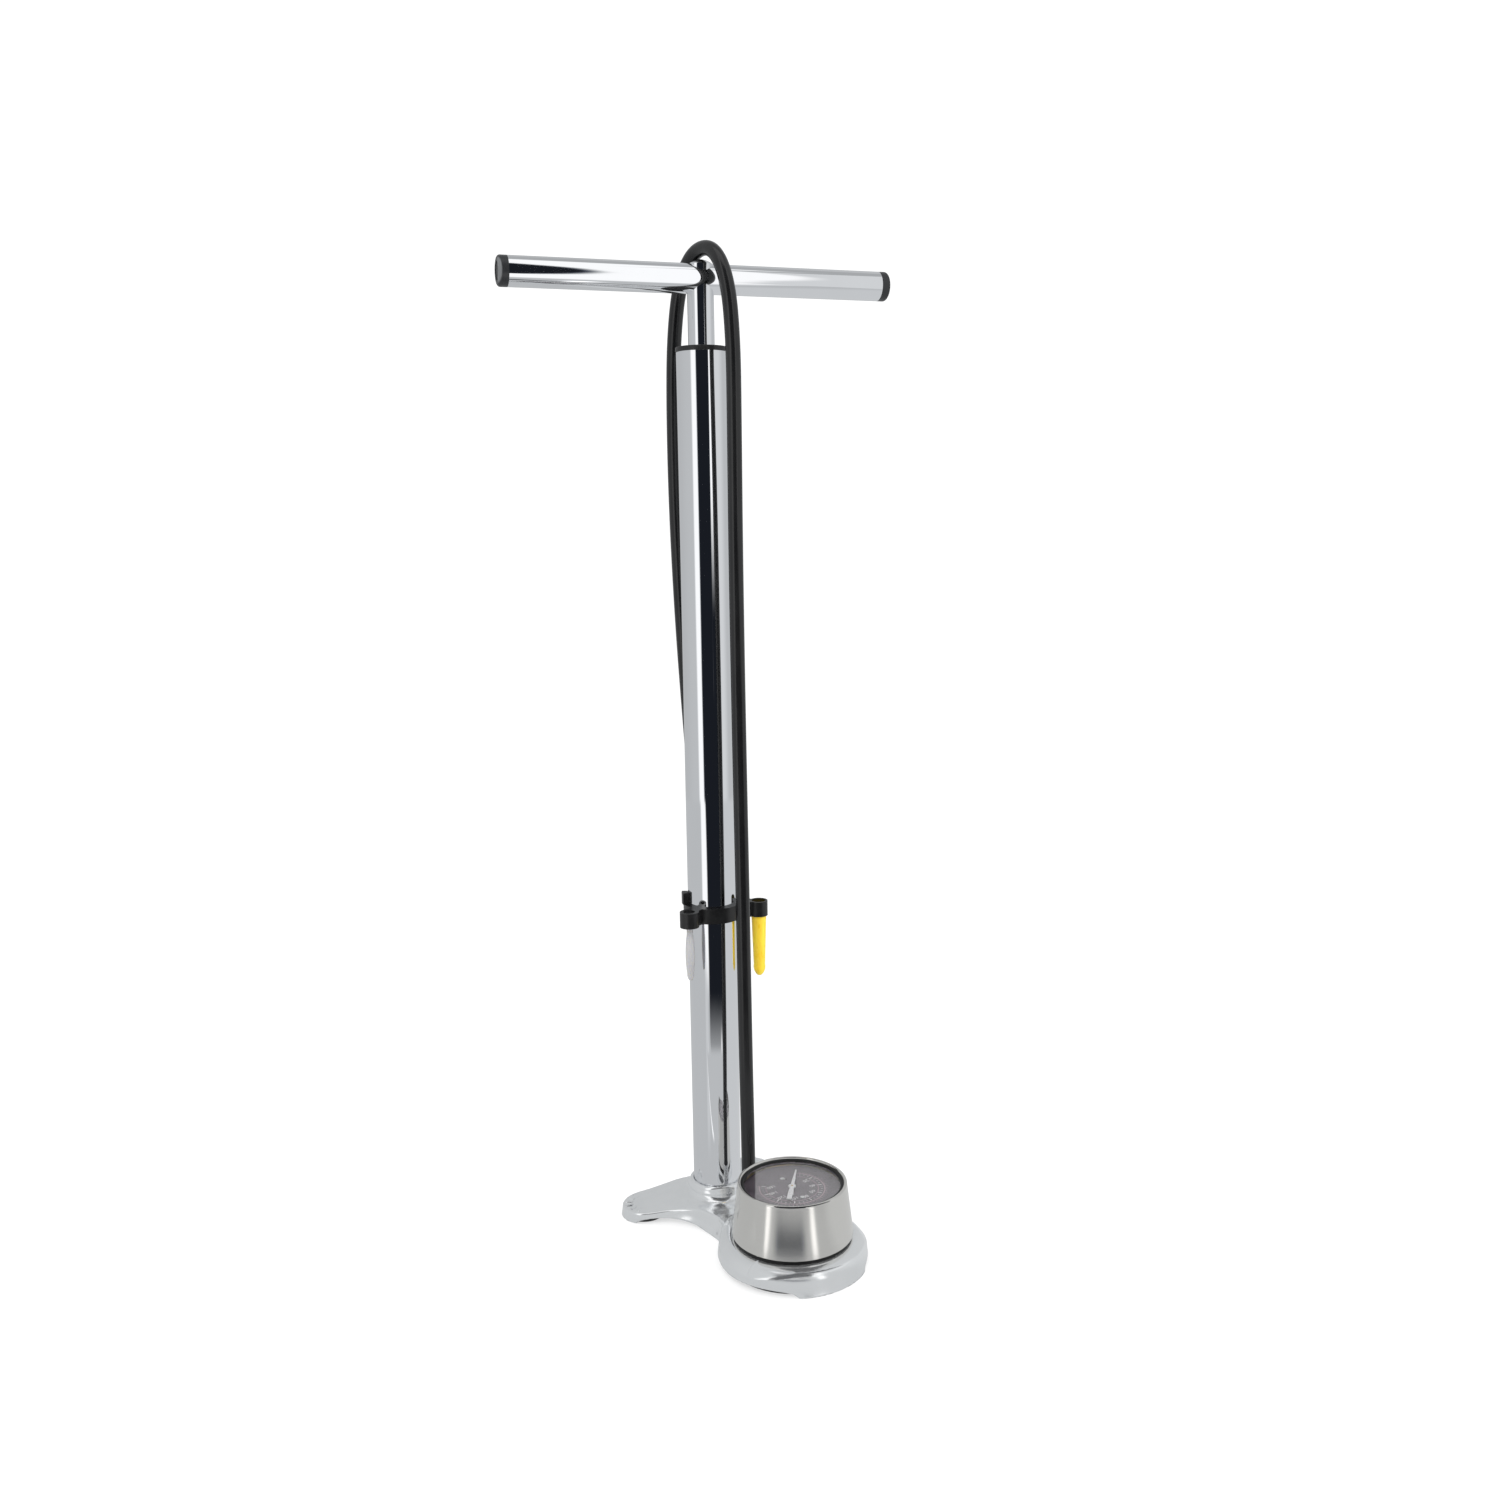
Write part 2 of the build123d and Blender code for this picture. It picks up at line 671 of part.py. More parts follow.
with BuildPart() as hose_nipple:
    with Locations((0, nipple_y, 10.5)):
        Cylinder(4.0, nipple_boss - 10.5, align=(Align.CENTER, Align.CENTER, Align.MIN))
    with BuildSketch(Plane((0, nipple_y, nipple_boss))):
        RegularPolygon(6, 6, major_radius=False)
    extrude(amount=hose_start - 0.8 - nipple_boss)
    with Locations((0, nipple_y, hose_start - 0.8)):
        Cylinder(hose_bore_r, 11, align=(Align.CENTER, Align.CENTER, Align.MIN))
    with Locations((0, nipple_y, 8)):
        Cylinder(1.5, 40, align=(Align.CENTER, Align.CENTER, Align.MIN), mode=Mode.SUBTRACT)
save(hose_nipple.part, "hose_nipple")

def crimped_sleeve(bottom, axis_y, axis_x=0.0):
    """Sleeve pressed on to the hose's end, with a chamfered lip at its top."""
    lip = [(6.6, bottom + 10.6), (5.9, bottom + 11.6), (hose_r, bottom + 11.6)]
    return turned([(hose_r, bottom), (6.6, bottom), *lip], axis_y, axis_x)


save(crimped_sleeve(hose_start - 0.6, nipple_y), "hose_ferrule_base")
save(crimped_sleeve(hose_end - 0.6, head_at[1], head_at[0]), "hose_ferrule_head")

hose_points = [
    (0, nipple_y, hose_start),
    (0, nipple_y, 60),
    (0.5, -38.4, 120),
    (0.8, -37.1, 235),
    (0.6, -35.9, 365),
    (0.3, -35.7, 480),
    (0, -37.0, 570),
    (0, -37.2, 625),
    (0, -32.2, 664),
    (0, -16.5, 687.4),
    (0, 7.0, 688.3),
    (0, 23.0, 669.5),
    (0, 30.4, 634),
    (0, 33.2, 588),
    (0, 33.5, 520),
    (0.4, 30.9, 440),
    (1.6, 28.0, 372),
    (4.8, 26.8, 318),
    (head_at[0], head_at[1], 284),
    (head_at[0], head_at[1], hose_end),
]


def corner_radii(points):
    """Largest radius that each corner's two runs leave room for."""
    radii = []
    for before, at, after in zip(points, points[1:], points[2:]):
        run_in = Vector(at) - Vector(before)
        run_out = Vector(after) - Vector(at)
        half_turn = math.radians(run_in.get_angle(run_out)) / 2
        radii.append(0.45 * min(run_in.length, run_out.length) / math.tan(half_turn))
    return radii


hose_radii = corner_radii(hose_points)
with BuildPart() as hose:
    with BuildLine():
        hose_path = FilletPolyline(*hose_points, radius=hose_radii)
    with BuildSketch(Plane(hose_path @ 0, z_dir=hose_path % 0)):
        Circle(hose_r)
        Circle(hose_bore_r, mode=Mode.SUBTRACT)
    sweep(path=hose_path)
save(hose.part, "hose")
hose_section = math.pi * (hose_r**2 - hose_bore_r**2)
print("hose corner radii", [round(radius, 1) for radius in hose_radii])
volume_ratio = hose.part.volume / hose_section / hose_path.length
print("hose length", round(hose_path.length, 1), "volume ratio", round(volume_ratio, 4))

# ---------------------------------------------------------------- pump head

head_r = 8.5
head_top = hose_end - 2
head_bottom = 212.0
pin_x = 10.2
pin_z = 246.0
plunger_bottom = 233.0
plunger_top = pin_z - 1.6
ear_half = 5.6
slot_half = 3.6
lever_half = 3.3
head_plane = Plane((head_at[0], head_at[1], 0))
head_side = Plane((head_at[0], head_at[1], 0), x_dir=(1, 0, 0), z_dir=(0, -1, 0))
with BuildPart() as head_body:
    with BuildSketch(head_plane.offset(head_bottom)):
        Circle(head_r)
    extrude(amount=head_top - head_bottom)
    fillet(head_body.edges().group_by(Axis.Z)[-1], radius=1.2)
    # ears that hold the lever's pin
    with BuildSketch(head_side):
        with Locations((8.6, pin_z)):
            RectangleRounded(9.6, 9, 2)
    extrude(amount=ear_half, both=True)
    with BuildSketch(head_plane.offset(head_top)):
        Circle(hose_bore_r)
    extrude(amount=10)
    with BuildSketch(head_plane.offset(head_bottom)):
        Circle(5.6)
    extrude(amount=pin_z + 1.4 - head_bottom, mode=Mode.SUBTRACT)
    with BuildSketch(head_side):
        with Locations((9.5, pin_z + 1.4)):
            Rectangle(14, 12)
    extrude(amount=slot_half, both=True, mode=Mode.SUBTRACT)
    with BuildSketch(head_side):
        with Locations((pin_x, pin_z)):
            Circle(1.5)
    extrude(amount=head_r, both=True, mode=Mode.SUBTRACT)
save(head_body.part, "head_body")

with BuildPart() as lever_pin:
    with BuildSketch(head_side):
        with Locations((pin_x, pin_z)):
            Circle(1.5)
    extrude(amount=ear_half, both=True)
save(lever_pin.part, "lever_pin")

with BuildPart() as head_lever:
    with BuildSketch(head_side):
        with BuildLine():
            Polyline(
                (pin_x - 1.2, pin_z + 3),
                (pin_x - 1.2, pin_z + 37),
                (pin_x + 1.8, pin_z + 39),
                (pin_x + 3.2, pin_z + 36),
                (pin_x + 3.3, pin_z),
                (pin_x, pin_z - 1.3),
                (pin_x - 6.2, pin_z - 1.3),
                (pin_x - 6.2, pin_z + 1.3),
                (pin_x - 3.2, pin_z + 1.5),
                close=True,
            )
        make_face()
        with Locations((pin_x, pin_z)):
            Circle(3.3)
            Circle(1.5 + running, mode=Mode.SUBTRACT)
    extrude(amount=lever_half, both=True)
save(head_lever.part, "head_lever")

save(
    turned(corners_of(0, 5.3, plunger_bottom, plunger_top), head_at[1], head_at[0]),
    "head_plunger",
)
save(
    turned(corners_of(3.9, 5.6, head_bottom + 4, head_bottom + 16), head_at[1], head_at[0]),
    "head_gasket",
)
with BuildPart() as head_cap:
    with BuildSketch(head_plane.offset(head_bottom - 5)):
        Circle(head_r)
        Circle(4.4, mode=Mode.SUBTRACT)
    extrude(amount=5)
    with BuildSketch(head_plane.offset(head_bottom)):
        Circle(5.6)
        Circle(4.4, mode=Mode.SUBTRACT)
    extrude(amount=4)
    chamfer(head_cap.edges().group_by(Axis.Z)[0], 0.5)
save(head_cap.part, "head_cap")

# ---------------------------------------------------------------- accessory clip and adapters

cone_top = clip_top - 3
cone_socket_r = 6.5
bulb_socket_r = 6.8
cone_neck = 5.0
cone_air_r = 1.2
bulb_neck = 4.0
bulb_air_r = 0.9
with BuildPart() as accessory_clip:
    with BuildSketch(level(clip_bottom)):
        Circle(clip_r)
        with Locations(cone_at):
            Circle(cone_socket_r)
        with Locations(bulb_at):
            Circle(bulb_socket_r)
        with Locations(head_at):
            Circle(head_r + 2.6)
        for socket_at in (cone_at, bulb_at):
            with Locations((socket_at[0] / 2, socket_at[1] / 2)):
                Rectangle(math.hypot(*socket_at), 9, rotation=math.degrees(math.atan2(socket_at[1], socket_at[0])))
        Circle(barrel_r, mode=Mode.SUBTRACT)
        with Locations(head_at):
            Circle(head_r, mode=Mode.SUBTRACT)
        with Locations((head_at[0] + 2.6, head_at[1] + 11)):
            Rectangle(13, 12, mode=Mode.SUBTRACT)
        with Locations(cone_at):
            Circle(cone_neck + running, mode=Mode.SUBTRACT)
        with Locations(bulb_at):
            Circle(bulb_neck + running, mode=Mode.SUBTRACT)
    extrude(amount=clip_top - clip_bottom)
    with BuildSketch(Plane.XY.offset(clip_top)):
        with BuildLine():
            inner = CenterArc((0, 0), barrel_r, 142, 24)
            outer = CenterArc((0, 0), clip_r + 1.2, 142, 24)
            Line(inner @ 0, outer @ 0)
            Line(inner @ 1, outer @ 1)
        make_face()
    extrude(amount=finger_tab)
    tab_top = accessory_clip.faces().sort_by(Axis.Z)[-1]
    fillet(tab_top.edges(), radius=1.2)
save(accessory_clip.part, "accessory_clip")

cone_tip = 180.9
shoulder_z = clip_bottom - 0.3
with BuildPart() as cone_adapter:
    with BuildSketch(Plane((*cone_at, 0), x_dir=(1, 0, 0), z_dir=(0, -1, 0))):
        with BuildLine():
            plug = Polyline((0, cone_top), (cone_neck, cone_top), (cone_neck, shoulder_z), (5.4, shoulder_z))
            Line(plug @ 1, (4.2, cone_tip + 8))
            ThreePointArc((4.2, cone_tip + 8), (3.4, cone_tip + 2.4), (1.6, cone_tip))
            Polyline((1.6, cone_tip), (0, cone_tip), (0, cone_top))
        make_face()
    revolve(axis=Axis((*cone_at, 0), (0, 0, 1)))
    with Locations((*cone_at, cone_tip - 1)):
        Cylinder(cone_air_r, 80, align=(Align.CENTER, Align.CENTER, Align.MIN), mode=Mode.SUBTRACT)
save(cone_adapter.part, "cone_adapter")

bulb_tip = 187.1
with BuildPart() as bulb_adapter:
    with BuildSketch(Plane((*bulb_at, 0), x_dir=(1, 0, 0), z_dir=(0, -1, 0))):
        with BuildLine():
            plug = Polyline((0, cone_top), (bulb_neck, cone_top), (bulb_neck, shoulder_z), (2.2, shoulder_z))
            Line(plug @ 1, (2.2, shoulder_z - 5))
            ThreePointArc((2.2, shoulder_z - 5), (3.3, bulb_tip + 17), (2.4, bulb_tip + 4))
            ThreePointArc((2.4, bulb_tip + 4), (2.0, bulb_tip + 1.4), (1.2, bulb_tip))
            Polyline((1.2, bulb_tip), (0, bulb_tip), (0, cone_top))
        make_face()
    revolve(axis=Axis((*bulb_at, 0), (0, 0, 1)))
    with Locations((*bulb_at, bulb_tip - 1)):
        Cylinder(bulb_air_r, 80, align=(Align.CENTER, Align.CENTER, Align.MIN), mode=Mode.SUBTRACT)
save(bulb_adapter.part, "bulb_adapter")
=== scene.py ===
import math

import bpy
import numpy as np
from mathutils import Matrix, Vector


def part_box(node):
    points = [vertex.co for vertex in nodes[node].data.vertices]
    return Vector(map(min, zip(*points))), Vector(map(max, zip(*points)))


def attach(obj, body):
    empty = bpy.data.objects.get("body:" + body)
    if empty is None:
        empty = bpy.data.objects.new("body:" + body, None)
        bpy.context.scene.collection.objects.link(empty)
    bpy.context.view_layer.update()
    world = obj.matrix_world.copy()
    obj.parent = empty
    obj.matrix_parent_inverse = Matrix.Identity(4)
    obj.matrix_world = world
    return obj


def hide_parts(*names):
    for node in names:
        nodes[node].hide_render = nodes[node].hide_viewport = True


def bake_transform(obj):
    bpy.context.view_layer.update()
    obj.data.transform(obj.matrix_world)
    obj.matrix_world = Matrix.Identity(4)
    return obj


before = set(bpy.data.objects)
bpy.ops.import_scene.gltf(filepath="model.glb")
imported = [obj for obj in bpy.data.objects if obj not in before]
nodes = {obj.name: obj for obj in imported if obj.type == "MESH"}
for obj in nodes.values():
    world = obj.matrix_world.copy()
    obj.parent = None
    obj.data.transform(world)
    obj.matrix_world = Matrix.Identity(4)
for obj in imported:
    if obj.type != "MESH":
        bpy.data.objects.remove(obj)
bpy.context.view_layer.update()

MM = 0.001


def centre_of(node):
    """Middle of a CAD node's box."""
    low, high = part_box(node)
    return (low + high) / 2


gauge = centre_of("gauge_housing")
barrel_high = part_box("barrel")[1]
barrel_r = barrel_high.x

# ---------------------------------------------------------------- camera

CAMERA_AZIMUTH = math.radians(-35.75)
CAMERA_ELEVATION = math.radians(9.71)
CAMERA_ROLL = math.radians(-0.82)
CAMERA_DISTANCE = 0.99954
TARGET_RIGHT = 0.02889
TARGET_HEIGHT = 0.34765
SENSOR = 36.0
LENS = 33.82
CLIP_START = 0.01

back = Vector((
    math.sin(CAMERA_AZIMUTH) * math.cos(CAMERA_ELEVATION),
    -math.cos(CAMERA_AZIMUTH) * math.cos(CAMERA_ELEVATION),
    math.sin(CAMERA_ELEVATION),
))
level_right = Vector((math.cos(CAMERA_AZIMUTH), math.sin(CAMERA_AZIMUTH), 0))
level_up = back.cross(level_right)
camera_right = level_right * math.cos(CAMERA_ROLL) + level_up * math.sin(CAMERA_ROLL)
camera_up = level_up * math.cos(CAMERA_ROLL) - level_right * math.sin(CAMERA_ROLL)
camera_spot = back * CAMERA_DISTANCE + level_right * TARGET_RIGHT + Vector((0, 0, TARGET_HEIGHT))

camera_data = bpy.data.cameras.new("camera")
camera_data.sensor_width = SENSOR
camera_data.lens = LENS
camera_data.clip_start = CLIP_START
camera = bpy.data.objects.new("camera", camera_data)
camera_turn = Matrix((camera_right, camera_up, back)).transposed().to_4x4()
camera.matrix_world = Matrix.Translation(camera_spot) @ camera_turn
bpy.context.scene.collection.objects.link(camera)
bpy.context.scene.camera = camera

# ---------------------------------------------------------------- mesh helpers


def add_mesh(name, points, faces, smooth_angle=None):
    """New object from points in metres; edges sharper than smooth_angle stay crisp."""
    mesh = bpy.data.meshes.new(name)
    mesh.from_pydata([tuple(p) for p in points], [], [tuple(f) for f in faces])
    mesh.validate()
    mesh.polygons.foreach_set("use_smooth", [True] * len(mesh.polygons))
    if smooth_angle is not None:
        mesh.set_sharp_from_angle(angle=math.radians(smooth_angle))
    mesh.update()
    made = bpy.data.objects.new(name, mesh)
    bpy.context.scene.collection.objects.link(made)
    return made


def revolve(name, profile, axis, around, smooth_angle):
    """Solid of revolution about a vertical axis, from a closed loop of (radius, height)."""
    points, faces = [], []
    count = len(profile)
    for turn in range(around):
        angle = 2 * math.pi * turn / around
        for radius, height in profile:
            points.append((axis[0] + radius * math.cos(angle), axis[1] + radius * math.sin(angle), height))
    for turn in range(around):
        here, there = turn * count, (turn + 1) % around * count
        for i in range(count):
            j = (i + 1) % count
            faces.append((here + i, there + i, there + j, here + j))
    return add_mesh(name, points, faces, smooth_angle)


def tube(name, path, radius, around):
    """Round tube along a path of points, with closed ends and rings that don't twist about the path."""
    path = [Vector(p) for p in path]
    along = [(path[min(i + 1, len(path) - 1)] - path[max(i - 1, 0)]).normalized() for i in range(len(path))]
    side = along[0].orthogonal().normalized()
    points, faces = [], []
    for spot, ahead in zip(path, along):
        side = (side - ahead * side.dot(ahead)).normalized()
        other = ahead.cross(side)
        for turn in range(around):
            angle = 2 * math.pi * turn / around
            points.append(spot + (side * math.cos(angle) + other * math.sin(angle)) * radius)
    for i in range(len(path) - 1):
        here, there = i * around, (i + 1) * around
        for turn in range(around):
            after = (turn + 1) % around
            faces.append((here + turn, here + after, there + after, there + turn))
    faces.append(tuple(reversed(range(around))))
    faces.append(tuple(range((len(path) - 1) * around, len(path) * around)))
    return add_mesh(name, points, faces, 50)


# ---------------------------------------------------------------- rounded solids from a field


def smooth_union(a, b, reach):
    """The nearer of two fields, with a fillet of about reach where they meet."""
    share = np.clip(0.5 + 0.5 * (b - a) / reach, 0, 1)
    return b * (1 - share) + a * share - reach * share * (1 - share)


def smooth_cut(a, b, reach):
    """What is left of a where b, negative in the space cut away, is taken off; edges rounded by reach."""
    return -smooth_union(-a, b, reach)


def ramp(low, high, value):
    """0 below low, 1 above high and smooth between, for high above low or below it."""
    share = np.clip((value - low) / (high - low), 0, 1)
    return share * share * (3 - 2 * share)


def capsule(x, y, start, end, start_r, end_r):
    """Distance in the plane to a straight bar with round ends of two radii."""
    run = np.array(end) - np.array(start)
    share = np.clip(((x - start[0]) * run[0] + (y - start[1]) * run[1]) / (run @ run), 0, 1)
    apart = np.hypot(x - start[0] - share * run[0], y - start[1] - share * run[1])
    return apart - start_r - share * (end_r - start_r)


# surface_of's last stage: rounds of drawing points on to the surface, and, in steps of the grid, the
# longest move in a round and the distance over which a slope is measured
DRAW_ROUNDS = 6
DRAW_LIMIT = 0.4
SLOPE_STEP = 0.05


def surface_of(name, field, low, high, step):
    """Quad mesh of the surface where field(x, y, z) is zero, in the box from low to high."""
    axes = [np.arange(a, b + step, step) for a, b in zip(low, high)]
    value = field(*np.meshgrid(*axes, indexing="ij"))
    solid = value < 0
    cells = tuple(n - 1 for n in value.shape)
    total = np.zeros(cells + (3,))
    count = np.zeros(cells)

    def corner(array, i, j, k):
        return array[i:i + cells[0], j:j + cells[1], k:k + cells[2]]

    for axis in range(3):
        for a in (0, 1):
            for b in (0, 1):
                start = np.insert([a, b], axis, 0)
                end = np.insert([a, b], axis, 1)
                va, vb = corner(value, *start), corner(value, *end)
                crossed = (va < 0) != (vb < 0)
                share = np.where(crossed, va / np.where(crossed, va - vb, 1), 0)
                spot = start + share[..., None] * (end - start)
                total += np.where(crossed[..., None], spot, 0)
                count += crossed
    active = count > 0
    number = np.full(cells, -1)
    number[active] = np.arange(active.sum())
    index = np.argwhere(active)
    points = np.array(low) + (index + total[active] / count[active][:, None]) * step
    faces = []
    for axis in range(3):
        first, second = [n for n in range(3) if n != axis]
        ahead = np.take(solid, range(1, solid.shape[axis]), axis)
        behind = np.take(solid, range(solid.shape[axis] - 1), axis)
        flips = np.argwhere(ahead != behind)
        keep = (flips[:, first] > 0) & (flips[:, second] > 0)
        keep &= (flips[:, first] < cells[first]) & (flips[:, second] < cells[second])
        flips = flips[keep]
        quad = []
        for da, db in ((1, 1), (0, 1), (0, 0), (1, 0)):
            cell = flips.copy()
            cell[:, first] -= da
            cell[:, second] -= db
            quad.append(number[tuple(cell.T)])
        quad = np.stack(quad, 1)
        outward = behind[tuple(flips.T)]
        if axis == 1:
            outward = ~outward
        faces.append(np.where(outward[:, None], quad, quad[:, ::-1]))
    faces = np.concatenate(faces)
    nudge = step * SLOPE_STEP

    def slope(spots):
        parts = []
        for axis in range(3):
            shift = np.eye(3)[axis] * nudge
            parts.append((field(*(spots + shift).T) - field(*(spots - shift).T)) / (2 * nudge))
        return np.stack(parts, 1)

    for _ in range(DRAW_ROUNDS):
        gradient = slope(points)
        move = gradient * (field(*points.T) / np.maximum((gradient**2).sum(1), 1e-9))[:, None]
        length = np.linalg.norm(move, axis=1)[:, None]
        points -= move * np.minimum(1, DRAW_LIMIT * step / np.maximum(length, 1e-12))
    made = add_mesh(name, points, faces.tolist())
    normals = slope(points)
    normals /= np.maximum(np.linalg.norm(normals, axis=1), 1e-9)[:, None]
    made.data.normals_split_custom_set_from_vertices(normals.tolist())
    return made


# ---------------------------------------------------------------- materials


class Surface:
    """A Principled material with helpers that add procedural detail in the pump's coordinates at rest."""

    def __init__(self, name, colour, roughness, **uniform):
        self.material = bpy.data.materials.new(name)
        self.material.use_nodes = True
        self.tree = self.material.node_tree
        self.shader = self.tree.nodes["Principled BSDF"]
        self.shader.inputs["Base Color"].default_value = (*colour, 1)
        self.shader.inputs["Roughness"].default_value = roughness
        for socket, value in uniform.items():
            self.shader.inputs[socket.replace("_", " ")].default_value = value
        self.place = self.node("ShaderNodeTexCoord").outputs["Object"]

    def node(self, kind, **settings):
        """A new shader node with the given settings."""
        made = self.tree.nodes.new(kind)
        for key, value in settings.items():
            setattr(made, key, value)
        return made

    def link(self, source, target):
        self.tree.links.new(source, target)

    def stretched(self, scale, shift=(0, 0, 0)):
        """Coordinates moved by shift and multiplied by scale on each axis."""
        mapping = self.node("ShaderNodeMapping")
        self.link(self.place, mapping.inputs["Vector"])
        mapping.inputs["Location"].default_value = [s * k for s, k in zip(shift, scale)]
        mapping.inputs["Scale"].default_value = scale
        return mapping.outputs["Vector"]

    def turned(self, axis, scale):
        """Coordinates (radius, height) about a vertical axis, for marks that run round it."""
        apart = self.node("ShaderNodeSeparateXYZ")
        self.link(self.stretched((1, 1, 1), (-axis[0], -axis[1], 0)), apart.inputs[0])
        flat = self.node("ShaderNodeCombineXYZ")
        self.link(apart.outputs["X"], flat.inputs["X"])
        self.link(apart.outputs["Y"], flat.inputs["Y"])
        radius = self.node("ShaderNodeVectorMath", operation="LENGTH")
        self.link(flat.outputs[0], radius.inputs[0])
        joined = self.node("ShaderNodeCombineXYZ")
        self.link(radius.outputs["Value"], joined.inputs["X"])
        self.link(apart.outputs["Z"], joined.inputs["Y"])
        scaled = self.node("ShaderNodeVectorMath", operation="SCALE")
        self.link(joined.outputs[0], scaled.inputs[0])
        scaled.inputs["Scale"].default_value = scale
        return scaled.outputs[0]

    def noise(self, vector, detail=3.0):
        """Soft random clouds from 0 to 1, sized by the vector's scale."""
        made = self.node("ShaderNodeTexNoise")
        self.link(vector, made.inputs["Vector"])
        made.inputs["Scale"].default_value = 1.0
        made.inputs["Detail"].default_value = detail
        made.inputs["Roughness"].default_value = 0.55
        return made.outputs["Fac"]

    def spread(self, value, low, high, start=0.3, end=0.7):
        """The range from start to end mapped on to the range from low to high."""
        made = self.node("ShaderNodeMapRange")
        self.link(value, made.inputs["Value"])
        for key, number in (("From Min", start), ("From Max", end), ("To Min", low), ("To Max", high)):
            made.inputs[key].default_value = number
        return made.outputs["Result"]

    def vary_roughness(self, value, low, high):
        """Roughness from low to high as a noise goes from its usual lows to its usual highs."""
        self.link(self.spread(value, low, high), self.shader.inputs["Roughness"])

    def vary_colour(self, value, first, second, start=0.3, end=0.7):
        """Base colour from first to second as value goes from start to end."""
        ramp_node = self.node("ShaderNodeValToRGB")
        self.link(value, ramp_node.inputs["Fac"])
        ramp_node.color_ramp.elements[0].position = start
        ramp_node.color_ramp.elements[1].position = end
        ramp_node.color_ramp.elements[0].color = (*first, 1)
        ramp_node.color_ramp.elements[1].color = (*second, 1)
        self.link(ramp_node.outputs["Color"], self.shader.inputs["Base Color"])

    def bump(self, value, height, strength):
        """Raise the surface by height in metres where value is high, on top of any bump already there."""
        made = self.node("ShaderNodeBump")
        self.link(value, made.inputs["Height"])
        made.inputs["Distance"].default_value = height
        made.inputs["Strength"].default_value = strength
        before = self.shader.inputs["Normal"]
        if before.is_linked:
            self.link(before.links[0].from_socket, made.inputs["Normal"])
        self.link(made.outputs["Normal"], before)


def chrome(name, low=0.02, high=0.05):
    """Bright plate: a near mirror with faint wipe marks and the slight waviness of the drawn tube."""
    colour = (0.86, 0.87, 0.89)
    made = Surface(name, colour, low, Metallic=1.0)
    smudge = made.noise(made.stretched((60, 60, 14)), detail=4)
    made.vary_roughness(smudge, low, high)
    made.vary_colour(smudge, tuple(c * 0.985 for c in colour), colour)
    made.bump(made.noise(made.stretched((25, 25, 9)), detail=1), 0.00004, 0.5)
    return made.material


def cast_metal():
    """Polished cast aluminium with a fine tumbled grain and the soft waviness of a hand-held wheel."""
    made = Surface("polished_casting", (0.83, 0.85, 0.87), 0.16, Metallic=0.9)
    cloud = made.noise(made.stretched((45, 45, 45)), detail=5)
    made.vary_roughness(cloud, 0.13, 0.19)
    made.vary_colour(cloud, (0.87, 0.885, 0.895), (0.91, 0.92, 0.93))
    made.bump(made.noise(made.stretched((900, 900, 900)), detail=3), 0.00001, 0.12)
    made.bump(made.noise(made.stretched((60, 60, 60)), detail=1), 0.0001, 0.12)
    return made.material


def brushed_steel():
    """Stainless steel with fine lathe lines round the gauge's axis, and a smoother rim."""
    colour = (0.78, 0.765, 0.735)
    across = {"Anisotropic": 0.45, "Anisotropic_Rotation": 0.25}
    made = Surface("brushed_stainless", colour, 0.3, Metallic=1.0, **across)
    lines = made.noise(made.turned(gauge, 6000), detail=2)
    apart = made.node("ShaderNodeSeparateXYZ")
    made.link(made.place, apart.inputs[0])
    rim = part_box("gauge_housing")[1].z
    polished = made.spread(apart.outputs["Z"], 0, 1, rim - 3.0 * MM, rim - 2.4 * MM)
    satin = made.spread(lines, 0.15, 0.2)
    blend = made.node("ShaderNodeMix", data_type="FLOAT")
    made.link(polished, blend.inputs["Factor"])
    made.link(satin, blend.inputs["A"])
    blend.inputs["B"].default_value = 0.14
    made.link(blend.outputs["Result"], made.shader.inputs["Roughness"])
    made.vary_colour(lines, tuple(c * 0.975 for c in colour), tuple(min(1, c * 1.02) for c in colour))
    around = made.node("ShaderNodeTangent", direction_type="RADIAL", axis="Z")
    made.link(around.outputs["Tangent"], made.shader.inputs["Tangent"])
    return made.material


def turned_steel(name, colour, roughness):
    """Small turned or stamped hardware, with tool marks in rings about the barrel's axis."""
    made = Surface(name, colour, roughness, Metallic=1.0)
    marks = made.noise(made.turned((0, 0), 2600), detail=2)
    made.vary_roughness(marks, roughness * 0.75, roughness * 1.3)
    cloud = made.noise(made.stretched((140, 140, 140)), detail=4)
    made.vary_colour(cloud, tuple(c * 0.86 for c in colour), colour)
    made.bump(marks, 0.00002, 0.5)
    return made.material


def black_plastic(name, colour, roughness, grain=1400):
    """Moulded plastic with a fine spark-eroded texture and slightly worn, lighter patches."""
    made = Surface(name, colour, roughness, Specular_IOR_Level=0.45)
    texture = made.noise(made.stretched((grain, grain, grain)), detail=2)
    cloud = made.noise(made.stretched((120, 120, 120)), detail=5)
    made.vary_roughness(cloud, roughness * 0.82, roughness * 1.2)
    made.vary_colour(cloud, colour, tuple(c * 1.5 + 0.002 for c in colour), 0.4, 0.8)
    made.bump(texture, 0.00004, 0.4)
    return made.material


def rubber(name, colour, roughness):
    """Black rubber with a dull bloom and fine pores."""
    made = Surface(name, colour, roughness, Specular_IOR_Level=0.4)
    bloom = made.noise(made.stretched((90, 90, 90)), detail=5)
    made.vary_roughness(bloom, roughness * 0.85, roughness * 1.2)
    made.vary_colour(bloom, colour, tuple(c * 2 + 0.001 for c in colour), 0.35, 0.8)
    made.bump(made.noise(made.stretched((2200, 2200, 2200)), detail=2), 0.00003, 0.4)
    return made.material


